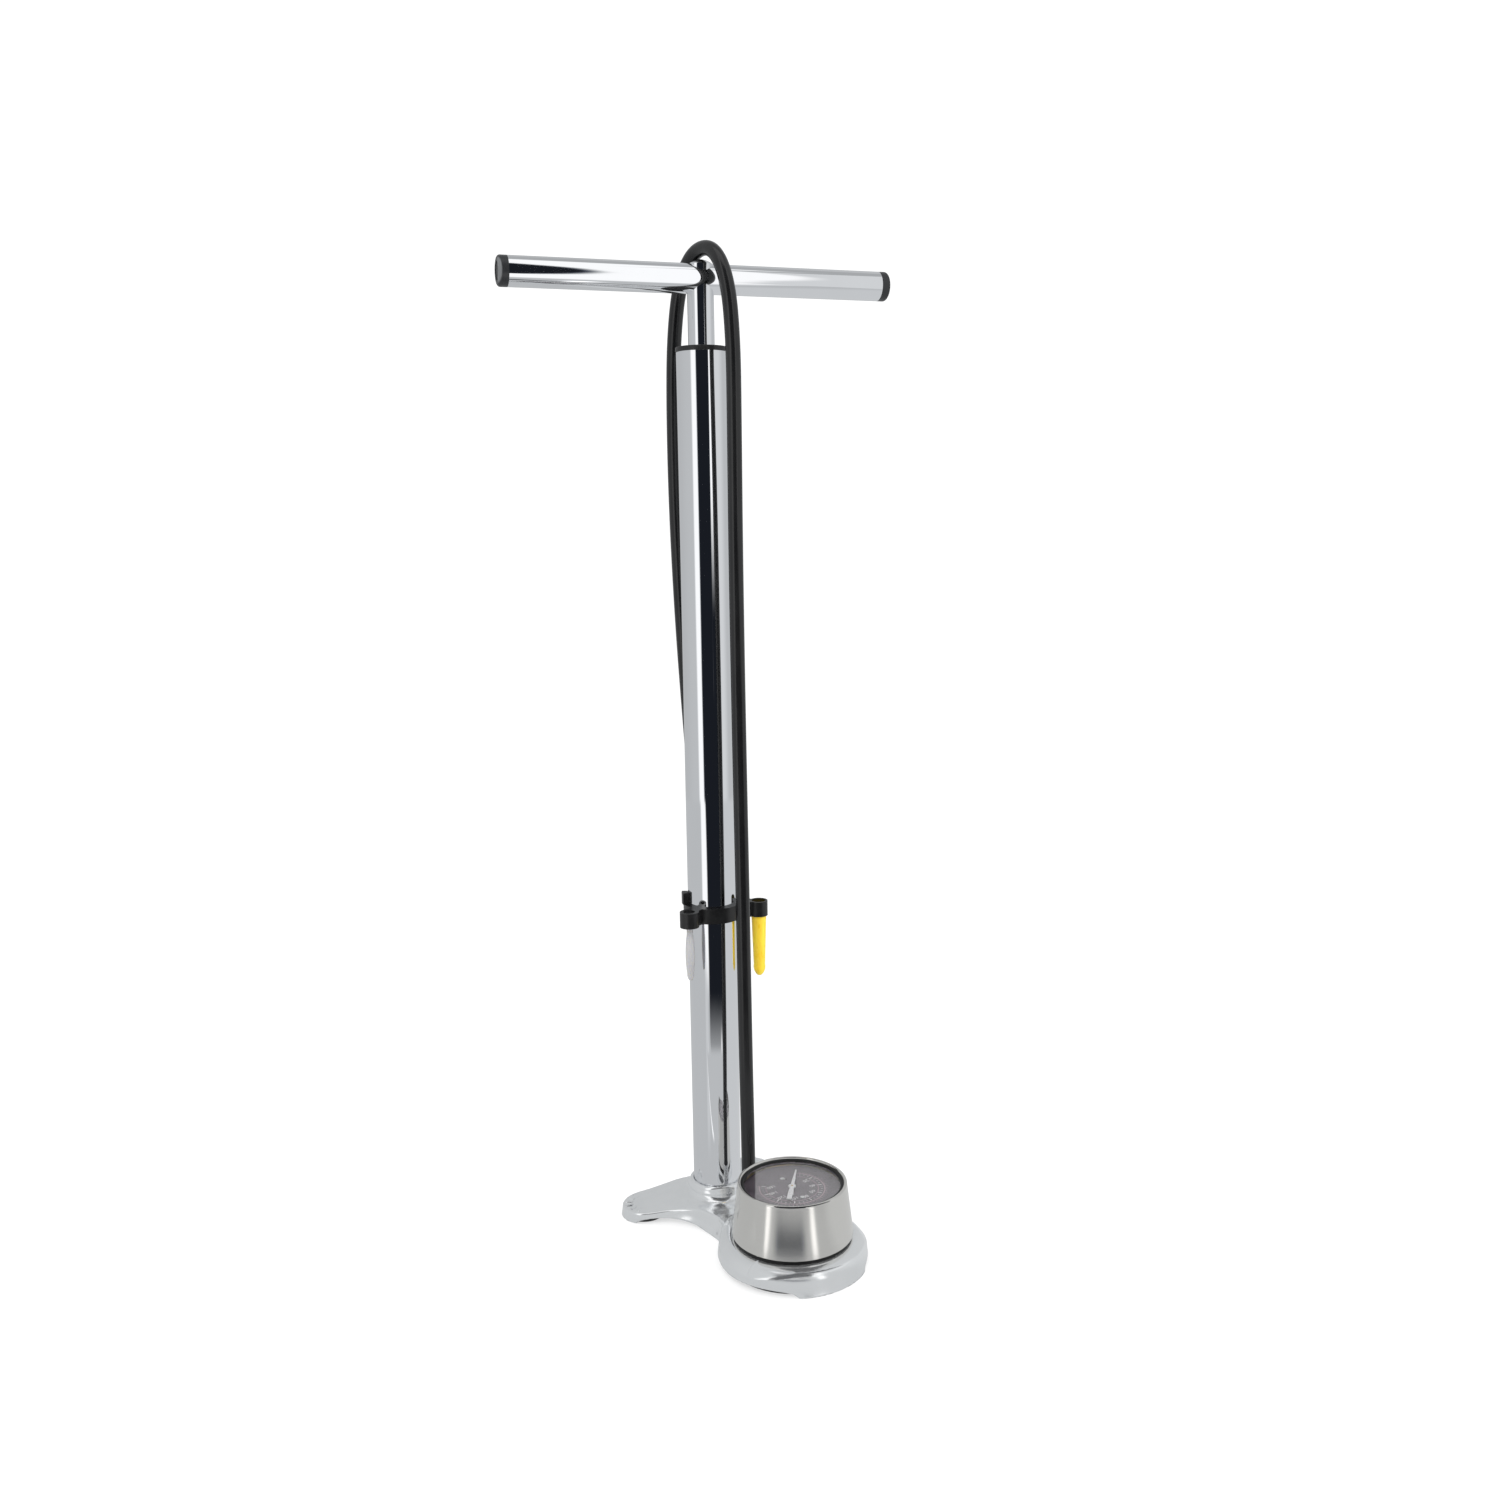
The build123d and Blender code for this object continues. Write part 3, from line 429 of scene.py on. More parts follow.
def hose_rubber():
    """Smooth extruded hose: satin skin with faint lines along its length and powdery bloom."""
    made = Surface("hose_rubber", (0.007, 0.007, 0.0075), 0.24, Specular_IOR_Level=0.5)
    lines = made.noise(made.stretched((1500, 1500, 12)), detail=2)
    bloom = made.noise(made.stretched((160, 160, 30)), detail=5)
    made.vary_roughness(bloom, 0.17, 0.25)
    made.vary_colour(bloom, (0.006, 0.006, 0.0065), (0.012, 0.012, 0.0125), 0.35, 0.8)
    made.bump(lines, 0.00003, 0.3)
    return made.material


def brass():
    """Machined brass, with patches of tarnish and marks that run up and down."""
    made = Surface("brass", (0.72, 0.53, 0.24), 0.28, Metallic=1.0)
    cloud = made.noise(made.stretched((180, 180, 180)), detail=5)
    made.vary_roughness(cloud, 0.2, 0.42)
    made.vary_colour(cloud, (0.52, 0.36, 0.14), (0.78, 0.6, 0.3))
    made.bump(made.noise(made.stretched((1800, 1800, 300)), detail=2), 0.00002, 0.4)
    return made.material


def clear_glass():
    """Flat gauge glass with the faintest smears."""
    made = Surface("gauge_glass", (0.98, 0.985, 0.985), 0.01, Transmission_Weight=1.0, IOR=1.5)
    made.vary_roughness(made.noise(made.stretched((160, 160, 160)), detail=5), 0.0, 0.02)
    return made.material


def dial_paint():
    """Charcoal anodised dial with a purple cast and a fine grain."""
    made = Surface("dial_charcoal", (0.085, 0.068, 0.085), 0.45, Metallic=0.2)
    cloud = made.noise(made.stretched((70, 70, 70)), detail=4)
    made.vary_colour(cloud, (0.09, 0.072, 0.09), (0.12, 0.095, 0.12))
    made.vary_roughness(made.noise(made.stretched((3000, 3000, 3000))), 0.35, 0.55)
    return made.material


def print_ink(name, colour):
    """Screen-printed ink, slightly uneven in cover."""
    made = Surface(name, colour, 0.5)
    cover = made.noise(made.stretched((1500, 1500, 1500)), detail=3)
    made.vary_colour(cover, tuple(c * 0.82 for c in colour), colour)
    return made.material


def tinted_plastic(name, colour, deep, roughness, scatter):
    """Slightly see-through moulded plastic: light spreads inside it, and the flow lines run up and down."""
    inside = {"Subsurface_Weight": scatter, "Subsurface_Scale": 0.004}
    made = Surface(name, colour, roughness, **inside, Specular_IOR_Level=0.5)
    made.shader.inputs["Subsurface Radius"].default_value = (1.0, 0.7, 0.25)
    flow = made.noise(made.stretched((300, 300, 60)), detail=3)
    made.vary_colour(flow, deep, colour)
    made.vary_roughness(flow, roughness * 0.8, roughness * 1.25)
    made.bump(made.noise(made.stretched((1400, 1400, 700)), detail=2), 0.00003, 0.35)
    return made.material


def plug_plastic():
    """Black end plugs whose flat end faces are painted a lighter grey, a painted highlight for the light the
    ends catch.
    """
    made = Surface("plug_black", (0.014, 0.015, 0.017), 0.34, Specular_IOR_Level=0.45)
    apart = made.node("ShaderNodeSeparateXYZ")
    made.link(made.place, apart.inputs[0])
    outward = made.node("ShaderNodeMath", operation="ABSOLUTE")
    made.link(apart.outputs["X"], outward.inputs[0])
    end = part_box("handle_plug_right")[1].x
    face = made.spread(outward.outputs[0], 0, 1, end - 1.6 * MM, end - 0.9 * MM)
    # painted highlight: the end face is coloured lighter than the plug's side to stand in for the light
    # falling on it
    made.vary_colour(face, (0.014, 0.015, 0.017), (0.13, 0.135, 0.14), 0, 1)
    scuffs = made.noise(made.stretched((260, 260, 260)), detail=5)
    made.vary_roughness(scuffs, 0.28, 0.42)
    made.bump(made.noise(made.stretched((1400, 1400, 1400)), detail=2), 0.00003, 0.35)
    return made.material


mirror_barrel = chrome("chrome_barrel")
mirror_rod = chrome("chrome_rod", low=0.015, high=0.04)
mirror_handle = chrome("chrome_handle")
casting = cast_metal()
stainless = brushed_steel()
hardware = turned_steel("steel_hardware", (0.56, 0.56, 0.57), 0.3)
ferrule_steel = turned_steel("ferrule_steel", (0.6, 0.6, 0.6), 0.24)
moulded_black = black_plastic("moulded_black", (0.008, 0.008, 0.0085), 0.36)
plug_black = plug_plastic()
head_black = black_plastic("head_black", (0.01, 0.01, 0.011), 0.42, 1000)
seal_rubber = rubber("seal_rubber", (0.004, 0.004, 0.004), 0.5)
pad_rubber = rubber("pad_rubber", (0.02, 0.02, 0.02), 0.62)
hose_skin = hose_rubber()
yellow_metal = brass()
glass = clear_glass()
charcoal = dial_paint()
white_ink = print_ink("white_ink", (0.78, 0.76, 0.78))
pink_ink = print_ink("pink_ink", (0.42, 0.3, 0.34))
needle_white = print_ink("needle_white", (0.86, 0.85, 0.87))
acetal = tinted_plastic("acetal", (0.83, 0.82, 0.78), (0.76, 0.75, 0.7), 0.35, 0.2)
cone_yellow = tinted_plastic("cone_yellow", (1.0, 0.74, 0.045), (0.93, 0.6, 0.03), 0.3, 0.35)
bulb_grey = tinted_plastic("bulb_grey", (0.44, 0.44, 0.45), (0.38, 0.38, 0.39), 0.28, 0.2)


def dress(piece, material):
    """Give a piece one material."""
    piece.data.materials.clear()
    piece.data.materials.append(material)
    return piece


FINISHES = {
    mirror_barrel: ["barrel"],
    mirror_rod: ["piston_rod"],
    mirror_handle: ["handle_tube", "handle_dome_nut"],
    stainless: ["gauge_housing"],
    hardware: [
        "check_ball", "check_spring", "hose_nipple", "sector_arbor", "gauge_mounting_screws",
        "gauge_mounting_nuts", "dial_screws", "handle_stud", "rod_foot", "piston_nut", "piston_washer",
        "lever_pin",
    ],
    moulded_black: ["top_cap", "accessory_clip"],
    plug_black: ["handle_plug_left", "handle_plug_right"],
    head_black: ["head_body", "head_cap", "head_lever", "head_plunger"],
    seal_rubber: [
        "rod_wiper", "barrel_gasket", "gauge_gasket", "crystal_seal", "head_gasket",
        "piston_cup", "rod_bumper",
    ],
    pad_rubber: ["foot_pad_left", "foot_pad_right", "foot_pad_front"],
    yellow_metal: [
        "check_valve_seat", "check_valve_plug", "gauge_socket", "movement_plate_lower",
        "movement_plate_upper", "movement_posts", "bourdon_tube", "sector_gear", "needle_arbor", "gauge_link",
    ],
    glass: ["gauge_crystal"],
    charcoal: ["gauge_dial"],
    needle_white: ["gauge_needle"],
    acetal: ["piston_body"],
    cone_yellow: ["cone_adapter"],
    bulb_grey: ["bulb_adapter"],
}
for finish, names in FINISHES.items():
    for name in names:
        dress(nodes[name], finish)

# ---------------------------------------------------------------- hose

HOSE_R = 5.0 * MM
HOSE_SIDES = 32
ROUTE_STEPS = 14
# millimetres: up from the base behind the gauge, over the handle and down the barrel's back to the pump head
hose_route = [
    (0, -40.3, 21),
    (0, -40.3, 60),
    (1.9, -36.4, 120),
    (2.6, -34.6, 235),
    (2.4, -33.4, 365),
    (2.0, -33.4, 480),
    (1.0, -35.6, 570),
    (0, -37.2, 625),
    (0, -32.2, 664),
    (0, -16.5, 687.4),
    (0, 7.0, 688.3),
    (-1.0, 23.8, 669.5),
    (-1.6, 31.6, 634),
    (-1.6, 34.4, 588),
    (-1.4, 34.6, 520),
    (-0.4, 31.6, 440),
    (1.6, 28.0, 372),
    (4.8, 26.8, 318),
    (10.5, 28.0, 284),
    (10.5, 28.0, 256),
]
hose_curve = bpy.data.curves.new("hose_line", "CURVE")
hose_curve.dimensions = "3D"
hose_curve.resolution_u = ROUTE_STEPS
hose_spline = hose_curve.splines.new("NURBS")
hose_spline.points.add(len(hose_route) - 1)
for spot, control in zip(hose_route, hose_spline.points):
    control.co = (spot[0] * MM, spot[1] * MM, spot[2] * MM, 1)
hose_spline.order_u = 3
hose_spline.use_endpoint_u = True
hose_line = bpy.data.objects.new("hose_line", hose_curve)
hose_mesh = bpy.data.meshes.new_from_object(hose_line)
hose_path = [vertex.co.copy() for vertex in hose_mesh.vertices]
bpy.data.objects.remove(hose_line)

hose = dress(tube("hose", hose_path, HOSE_R, HOSE_SIDES), hose_skin)
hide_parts("hose")
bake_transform(hose)


# the ferrules' grooves: the last three are shares of a ferrule's length
GROOVES = 3
GROOVE_STEPS = 8
GROOVE_DEPTH = 0.65 * MM
FIRST_GROOVE = 0.22
GROOVE_PITCH = 0.2
GROOVE_WIDTH = 0.12


def crimped_ferrule(name, node):
    """Sleeve pressed on to the hose, with rolled grooves and a rounded top edge."""
    low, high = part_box(node)
    middle = centre_of(node)
    outer = (high.x - low.x) / 2
    bore = HOSE_R - 0.2 * MM
    profile = [(bore, low.z), (outer - 0.3 * MM, low.z), (outer, low.z + 0.4 * MM)]
    length = high.z - low.z
    for groove in range(GROOVES):
        at = low.z + length * (FIRST_GROOVE + GROOVE_PITCH * groove)
        for step in range(GROOVE_STEPS + 1):
            share = step / GROOVE_STEPS
            dip = GROOVE_DEPTH * math.sin(math.pi * share) ** 2
            profile.append((outer - dip, at + length * GROOVE_WIDTH * share))
    profile += [(outer, high.z - 1.4 * MM), (outer - 0.25 * MM, high.z - 0.5 * MM)]
    profile += [(outer - 0.8 * MM, high.z), (bore, high.z)]
    piece = dress(revolve(name, profile, (middle.x, middle.y), 64, 40), ferrule_steel)
    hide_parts(node)
    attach(piece, "base")


crimped_ferrule("ferrule_at_base", "hose_ferrule_base")
crimped_ferrule("ferrule_at_head", "hose_ferrule_head")

# ---------------------------------------------------------------- base casting

casting_low, casting_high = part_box("base_casting")
pad_low, pad_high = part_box("foot_pad_right")
wing = centre_of("foot_pad_right")
nipple = centre_of("hose_nipple")
disc_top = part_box("gauge_gasket")[0].z
disc_r = gauge.y - casting_low.y
collar_top = casting_high.z
floor_gap = casting_low.z
pad_r = (pad_high.x - pad_low.x) / 2
MESH_STEP = 1.0 * MM
WING_R = 17.5 * MM
HUB_R = 29.5 * MM
NECK_HALF = 28 * MM
WING_TOP = 8.3 * MM
HUB_RISE = 6.2 * MM
WAIST_R = 19.4 * MM
SOCKET_FLOOR = 18 * MM
# the gauge foot's side leans in by this much of its height, which stretches its field by SKIRT_STRETCH
SKIRT_LEAN = 0.09
SKIRT_STRETCH = 1.004
CLEARANCE = 0.1 * MM
EDGE = 0.5 * MM
# ribs at the wings' ends: angles in degrees, and distances from the wing's centre in millimetres
RIBS = 6
RIB_FIRST = -38
RIB_STEP = 25
RIB_INNER = 10.2
RIB_OUTER = 14.2
RIB_HALF = 0.75 * MM
RIB_TOP = 9.3 * MM


def footprint(x, y):
    """Distance inside or outside the casting's outline on the floor, mirror-symmetric in x."""
    side = np.abs(x)
    wings = capsule(side, y, (0, 3 * MM), (wing.x, wing.y), HUB_R, WING_R)
    shoulder = capsule(side, y, (18 * MM, 19.5 * MM), (42 * MM, 24.5 * MM), 20 * MM, 19.5 * MM)
    wings = smooth_union(wings, shoulder, 5 * MM)
    neck_x = side - NECK_HALF
    neck_y = np.abs(y - gauge.y / 2) + gauge.y / 2
    neck = np.maximum(neck_x, neck_y)
    disc = np.hypot(x, y - gauge.y) - disc_r
    return smooth_union(smooth_union(wings, neck, 26 * MM), disc, 16 * MM)


def with_ribs(shape, x, y, z):
    """The casting with short spokes raised on the end of each wing."""
    for side in (-1, 1):
        for rib in range(RIBS):
            angle = math.radians(RIB_FIRST + rib * RIB_STEP)
            spoke = (side * math.cos(angle), math.sin(angle))
            start = (side * wing.x + spoke[0] * RIB_INNER * MM, wing.y + spoke[1] * RIB_INNER * MM)
            end = (side * wing.x + spoke[0] * RIB_OUTER * MM, wing.y + spoke[1] * RIB_OUTER * MM)
            bar = capsule(x, y, start, end, RIB_HALF, RIB_HALF)
            shape = smooth_union(shape, smooth_cut(bar, RIB_TOP - z, 0.6 * MM), 0.8 * MM)
    return shape


def with_arches(shape, x, y, z):
    """The casting with a low arch cut under each wing's front edge, and a flat underside."""
    arch_x = (np.abs(x) - wing.x + 3 * MM) / (16 * MM)
    arch = (np.hypot(arch_x, (z - floor_gap) / (3.6 * MM)) - 1) * 3 * MM
    arch = np.maximum(arch, y - wing.y + 4 * MM)
    shape = smooth_cut(shape, arch, 1.0 * MM)
    return smooth_cut(shape, z - 0.3 * MM, EDGE)


def with_hollows(shape, x, y, z):
    """The casting with its pad recesses, the hollow under the gauge, the barrel socket and the air holes."""
    radius = np.hypot(x, y)
    out = np.hypot(x, y - gauge.y)
    pads = np.maximum(np.hypot(np.abs(x) - wing.x, y - wing.y) - pad_r - 0.15 * MM, z - 3.65 * MM)
    ring = np.maximum(np.abs(out - 43 * MM) - 3.15 * MM, z - 3.15 * MM)
    hollow = np.maximum(np.maximum(out - 37 * MM, 12 * MM - out), z - 11 * MM)
    hollow = np.maximum(hollow, 5.5 * MM - np.abs(x))
    socket = np.maximum(radius - barrel_r - CLEARANCE, SOCKET_FLOOR - z)
    chamber = np.minimum(radius - 2.2 * MM, np.maximum(radius - 5.1 * MM, z - 14.1 * MM))
    chamber = np.minimum(chamber, np.maximum(radius - 6.6 * MM, z - 4.1 * MM))
    bores = np.maximum(np.minimum(np.hypot(x - nipple.x, y - nipple.y), out) - 4.2 * MM, 10 * MM - z)
    for gap in (pads, ring, hollow, socket, chamber, bores):
        shape = smooth_cut(shape, gap, EDGE)
    return shape


def casting_field(x, y, z):
    """Distance inside or outside the whole casting: a plate with a collar on it and a disc in front."""
    outline = footprint(x, y)
    reach = np.hypot(x, np.maximum(y, 0))
    top = WING_TOP + HUB_RISE * np.clip((60 * MM - reach) / (32 * MM), 0, 1) ** 1.5
    lift = np.clip((z - floor_gap) / (14 * MM), 0, 1)
    drawn_in = 1.2 * MM + 2.2 * MM * ramp(50 * MM, 27 * MM, reach) * ramp(27 * MM, 10 * MM, y)
    flank = outline + drawn_in * (1 - (1 - lift) ** 2)
    plate = smooth_cut(flank, top - z, 1.5 * MM)
    radius = np.hypot(x, y)
    waist = WAIST_R + 0.9 * MM * ramp(collar_top - 7 * MM, collar_top - 4.5 * MM, z)
    collar = smooth_cut(radius - waist, collar_top - z, 2.4 * MM)
    out = np.hypot(x, y - gauge.y)
    skirt = (out - disc_r + SKIRT_LEAN * z) / SKIRT_STRETCH
    disc = smooth_cut(skirt, disc_top + 0.7 * MM - z, 8.5 * MM)
    shape = smooth_union(plate, collar, 13 * MM)
    shape = smooth_union(shape, disc, 6 * MM)
    shape = with_arches(with_ribs(shape, x, y, z), x, y, z)
    return with_hollows(shape, x, y, z)


def build_casting():
    """The polished casting that stands in for the CAD one, with rounder edges and wider fillets."""
    margin = Vector((3, 3, 2)) * MM
    low, high = casting_low - margin, casting_high + margin
    piece = surface_of("base_casting_polished", casting_field, low, high, MESH_STEP)
    dress(piece, casting)
    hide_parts("base_casting")
    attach(piece, "base")


build_casting()

# ---------------------------------------------------------------- dial


# the dial's print; the numbers' ring is a radius in millimetres
PRINT_LIFT = 0.03 * MM
DIAL_ZERO = math.radians(46)
DIAL_SWEEP = math.radians(270)
DIVISIONS = 32
PER_NUMBER = 4
NUMBER_STEP = 20
NUMBER_SIZE = 4.6 * MM
NUMBER_RING = 14.6
OUTER_DIVISIONS = 44
ARC_STEPS = 96


def dial_number(step, level):
    """One number as a flat mesh, upright for someone standing behind the barrel."""
    angle = DIAL_ZERO - DIAL_SWEEP * step * PER_NUMBER / DIVISIONS
    text = bpy.data.curves.new(f"dial_number_{step}", "FONT")
    text.body = str(step * NUMBER_STEP)
    text.size = NUMBER_SIZE
    text.align_x = "CENTER"
    text.align_y = "CENTER"
    holder = bpy.data.objects.new("number", text)
    mesh = bpy.data.meshes.new_from_object(holder)
    mesh.name = f"dial_number_{step}"
    bpy.data.objects.remove(holder)
    number = bpy.data.objects.new(f"dial_number_{step}", mesh)
    bpy.context.scene.collection.objects.link(number)
    spot_x = gauge.x + NUMBER_RING * MM * math.cos(angle)
    spot_y = gauge.y + NUMBER_RING * MM * math.sin(angle)
    place = Matrix.Translation(Vector((spot_x, spot_y, level)))
    mesh.transform(place @ Matrix.Rotation(math.pi, 4, "Z"))
    return dress(number, white_ink)


def dial_print():
    """White ticks and numbers on the dial, with two pink arcs and a pink scale outside them."""
    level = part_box("gauge_dial")[1].z + PRINT_LIFT
    white, pink = ([], []), ([], [])

    def bar(store, angle, inner, outer, half):
        points, faces = store
        out = Vector((math.cos(angle), math.sin(angle), 0))
        side = Vector((-out.y, out.x, 0)) * half
        centre = Vector((gauge.x, gauge.y, level))
        first = len(points)
        points.extend([centre + out * inner - side, centre + out * outer - side])
        points.extend([centre + out * outer + side, centre + out * inner + side])
        faces.append((first, first + 1, first + 2, first + 3))

    def arc(store, radius, half, start, end, steps):
        points, faces = store
        first = len(points)
        for i in range(steps + 1):
            angle = start + (end - start) * i / steps
            for r in (radius - half, radius + half):
                points.append((gauge.x + r * math.cos(angle), gauge.y + r * math.sin(angle), level))
        for i in range(steps):
            k = first + 2 * i
            faces.append((k + 2, k + 3, k + 1, k))

    for tick in range(DIVISIONS + 1):
        angle = DIAL_ZERO - DIAL_SWEEP * tick / DIVISIONS
        major = tick % PER_NUMBER == 0
        bar(white, angle, (18.6 if major else 19.8) * MM, 21.4 * MM, (0.36 if major else 0.17) * MM)
    arc(pink, 22.6 * MM, 0.36 * MM, DIAL_ZERO - DIAL_SWEEP, DIAL_ZERO, ARC_STEPS)
    arc(pink, 18.2 * MM, 0.24 * MM, DIAL_ZERO - DIAL_SWEEP, DIAL_ZERO, ARC_STEPS)
    for tick in range(OUTER_DIVISIONS + 1):
        angle = DIAL_ZERO - DIAL_SWEEP * tick / OUTER_DIVISIONS
        bar(pink, angle, 23.0 * MM, (25.6 if tick % PER_NUMBER == 0 else 24.6) * MM, 0.2 * MM)
    pieces = []
    for name, store, ink in (("dial_scale_white", white, white_ink), ("dial_scale_pink", pink, pink_ink)):
        pieces.append(dress(add_mesh(name, *store), ink))
    pieces += [dial_number(step, level) for step in range(DIVISIONS // PER_NUMBER + 1)]
    for piece in pieces:
        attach(piece, "base")


dial_print()


# the paddle's outline in millimetres: along the needle, negative on its tail's side, and across it
PADDLE = [(-2, 1.3), (-6, 1.6), (-13, 2.0), (-13.6, 0), (-13, -2.0), (-6, -1.6), (-2, -1.3)]
PADDLE_BELOW = 0.15 * MM
PADDLE_ABOVE = 0.2 * MM


def needle_paddle():
    """Broad white counterweight painted on the needle's tail."""
    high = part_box("gauge_needle")[1]
    needle = nodes["gauge_needle"]
    corners = [needle.matrix_world @ vertex.co for vertex in needle.data.vertices]
    tip = max(corners, key=lambda spot: math.hypot(spot.x - gauge.x, spot.y - gauge.y))
    out = Vector((tip.x - gauge.x, tip.y - gauge.y, 0)).normalized()
    side = Vector((-out.y, out.x, 0))
    centre = Vector((gauge.x, gauge.y, 0))
    points = []
    for level in (high.z - PADDLE_BELOW, high.z + PADDLE_ABOVE):
        points += [centre + out * (a * MM) + side * (b * MM) + Vector((0, 0, level)) for a, b in PADDLE]
    count = len(PADDLE)
    faces = [tuple(range(count))[::-1], tuple(range(count, 2 * count))]
    faces += [(i, (i + 1) % count, count + (i + 1) % count, count + i) for i in range(count)]
    piece = dress(add_mesh("needle_paddle", points, faces, 30), needle_white)
    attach(piece, "needle")


needle_paddle()

# ---------------------------------------------------------------- floor, light and what the chrome mirrors

# Angles in this section are in degrees about the barrel, from the camera's side, and grow to the right.
# Lengths are in metres, and brightness is 1 for plain white.
camera_angle = math.atan2(back.y, back.x)
handle_height = centre_of("handle_tube").z
HANDLE_EDGE = 7.3 * MM
STUDIO_R = 1.5
STUDIO_TOP = 3.2
GROUND_LEVEL = -0.0005
WHITE = 1.12
BLACK = 0.014
LEFT_GREY = 0.52
RIGHT_GREY = 0.56
GROUND_GREY = 0.55
CEILING_GREY = 0.45
CARD_GREY = 0.56
# half the width of the soft right edges of the wall's white stretch and dark strip
WHITE_BLUR = 1.5
DARK_BLUR = 1.2
# the right end of the wall's dark strip, an angle for each height
DARK_HEIGHTS = (0, 0.41, 0.98, 1.67, 2.39)
DARK_ENDS = (26.5, 29, 30.8, 31.5, 31)
# a dark spot and two bright strips on the ground for the gauge's case to mirror, at angles about the gauge
SPOT_AT = -6
LEFT_STRIP_AT = -46
RIGHT_STRIP_AT = 34
SPOT_LIGHT = 0.02
STRIP_LIGHT = 0.9


def wall_light(angle, height):
    """Brightness of the studio wall: grey, with a white stretch and a dark strip within it."""
    left = LEFT_GREY + 0.05 * ramp(-140, -60, angle)
    right = RIGHT_GREY + 0.17 * ramp(110, 75, angle)
    level = np.where(angle < 0, left, right)
    white_end = 41 + 7.2 * np.maximum(height - 0.62, 0)
    white_fade = ramp(white_end + WHITE_BLUR, white_end - WHITE_BLUR, angle)
    level = level + (WHITE - level) * ramp(-53, -44, angle) * white_fade
    dark_end = np.interp(height, DARK_HEIGHTS, DARK_ENDS)
    dark_fade = ramp(dark_end + DARK_BLUR, dark_end - DARK_BLUR, angle)
    dark = ramp(-29, -23, angle) * dark_fade * ramp(3.05, 2.87, height)
    return level + (BLACK - level) * dark


def ground_light(angle, ahead, radius):
    """Brightness of the paper: grey round the pump, white ahead of it, and the gauge's spot and strips."""
    level = GROUND_GREY + 0.1 * ramp(-42, -37, angle) * ramp(-24, -29, angle) * ramp(0.1, 0.2, radius)
    level = level + 0.09 * ramp(48, 60, angle)
    front = ramp(0.42, 0.6, ahead) * ramp(-48, -40, angle) * ramp(48, 41, angle)
    level = level + (WHITE - level) * front
    turned = np.radians(angle) + camera_angle
    from_gauge_x = radius * np.cos(turned) - gauge.x
    from_gauge_y = radius * np.sin(turned) - gauge.y
    apart = np.hypot(from_gauge_x, from_gauge_y)
    around = (np.degrees(np.arctan2(from_gauge_y, from_gauge_x) - camera_angle) + 180) % 360 - 180
    spot = ramp(31, 17, np.abs(around - SPOT_AT)) * ramp(0.11, 0.145, apart) * ramp(0.23, 0.18, apart)
    level = level + (SPOT_LIGHT - level) * spot
    left_strip = ramp(8, 1, np.abs(around - LEFT_STRIP_AT))
    right_strip = ramp(7, 1, np.abs(around - RIGHT_STRIP_AT))
    strips = np.maximum(left_strip, right_strip)
    return level + STRIP_LIGHT * strips * ramp(0.1, 0.13, apart) * ramp(0.34, 0.27, apart)


def studio_light(x, y, z):
    """Brightness of the surroundings at a point of the studio's wall, paper floor or ceiling."""
    angle = (np.degrees(np.arctan2(y, x) - camera_angle) + 180) % 360 - 180
    radius = np.hypot(x, y)
    ahead = x * math.cos(camera_angle) + y * math.sin(camera_angle)
    aside = np.abs(radius * np.sin(np.radians(angle)))
    side_fade = ramp(1.25, 1.0, aside)
    ceiling = CEILING_GREY + (WHITE - CEILING_GREY) * ramp(-0.1, 0.15, ahead) * side_fade
    above = np.where(z >= STUDIO_TOP - 0.001, ceiling, wall_light(angle, z))
    return np.where(z <= 0.001, ground_light(angle, ahead, radius), above)


def tinted(light):
    """Colours of the surroundings: neutral white, cool greys and blue-black."""
    grey, black = ramp(1.0, 0.6, light), ramp(0.3, 0.05, light)
    red = light * (1 - 0.02 * grey - 0.2 * black)
    green = light * (1 - 0.08 * black)
    blue = light * (1 + 0.015 * grey + 0.25 * black)
    return np.stack([red, green, blue, np.ones_like(light)], 1)


def mirrored_only(name, points, faces, light, cover=None):
    """A glowing surface seen only in reflections; cover from 0 to 1 says how much it hides what is behind."""
    piece = add_mesh(name, points, faces)
    glow = piece.data.attributes.new("glow", "FLOAT_COLOR", "POINT")
    glow.data.foreach_set("color", tinted(light).astype(np.float32).ravel())
    material = bpy.data.materials.new(name)
    material.use_nodes = True
    tree = material.node_tree
    tree.nodes.clear()
    lamp = tree.nodes.new("ShaderNodeEmission")
    colour = tree.nodes.new("ShaderNodeAttribute")
    colour.attribute_name = "glow"
    tree.links.new(colour.outputs["Color"], lamp.inputs["Color"])
    target = tree.nodes.new("ShaderNodeOutputMaterial")
    result = lamp.outputs[0]
    if cover is not None:
        hidden = piece.data.attributes.new("cover", "FLOAT", "POINT")
        hidden.data.foreach_set("value", cover.astype(np.float32))
        amount = tree.nodes.new("ShaderNodeAttribute")
        amount.attribute_name = "cover"
        clear = tree.nodes.new("ShaderNodeBsdfTransparent")
        mix = tree.nodes.new("ShaderNodeMixShader")
        tree.links.new(amount.outputs["Fac"], mix.inputs[0])
        tree.links.new(clear.outputs[0], mix.inputs[1])
        tree.links.new(result, mix.inputs[2])
        result = mix.outputs[0]
    tree.links.new(result, target.inputs["Surface"])
    material.cycles.emission_sampling = "NONE"
    dress(piece, material)
    piece.visible_camera = False
    piece.visible_diffuse = False
    piece.visible_shadow = False
    piece.visible_transmission = False
    piece.visible_volume_scatter = False


def grid_faces(rows, columns, wrap):
    """Quads of a grid of points, closed round its columns if wrap is true."""
    i, j = np.meshgrid(np.arange(rows - 1), np.arange(columns if wrap else columns - 1), indexing="ij")
    k = (j + 1) % columns
    corners = [i * columns + j, (i + 1) * columns + j, (i + 1) * columns + k, i * columns + k]
    return np.stack(corners, 2).reshape(-1, 4).tolist()


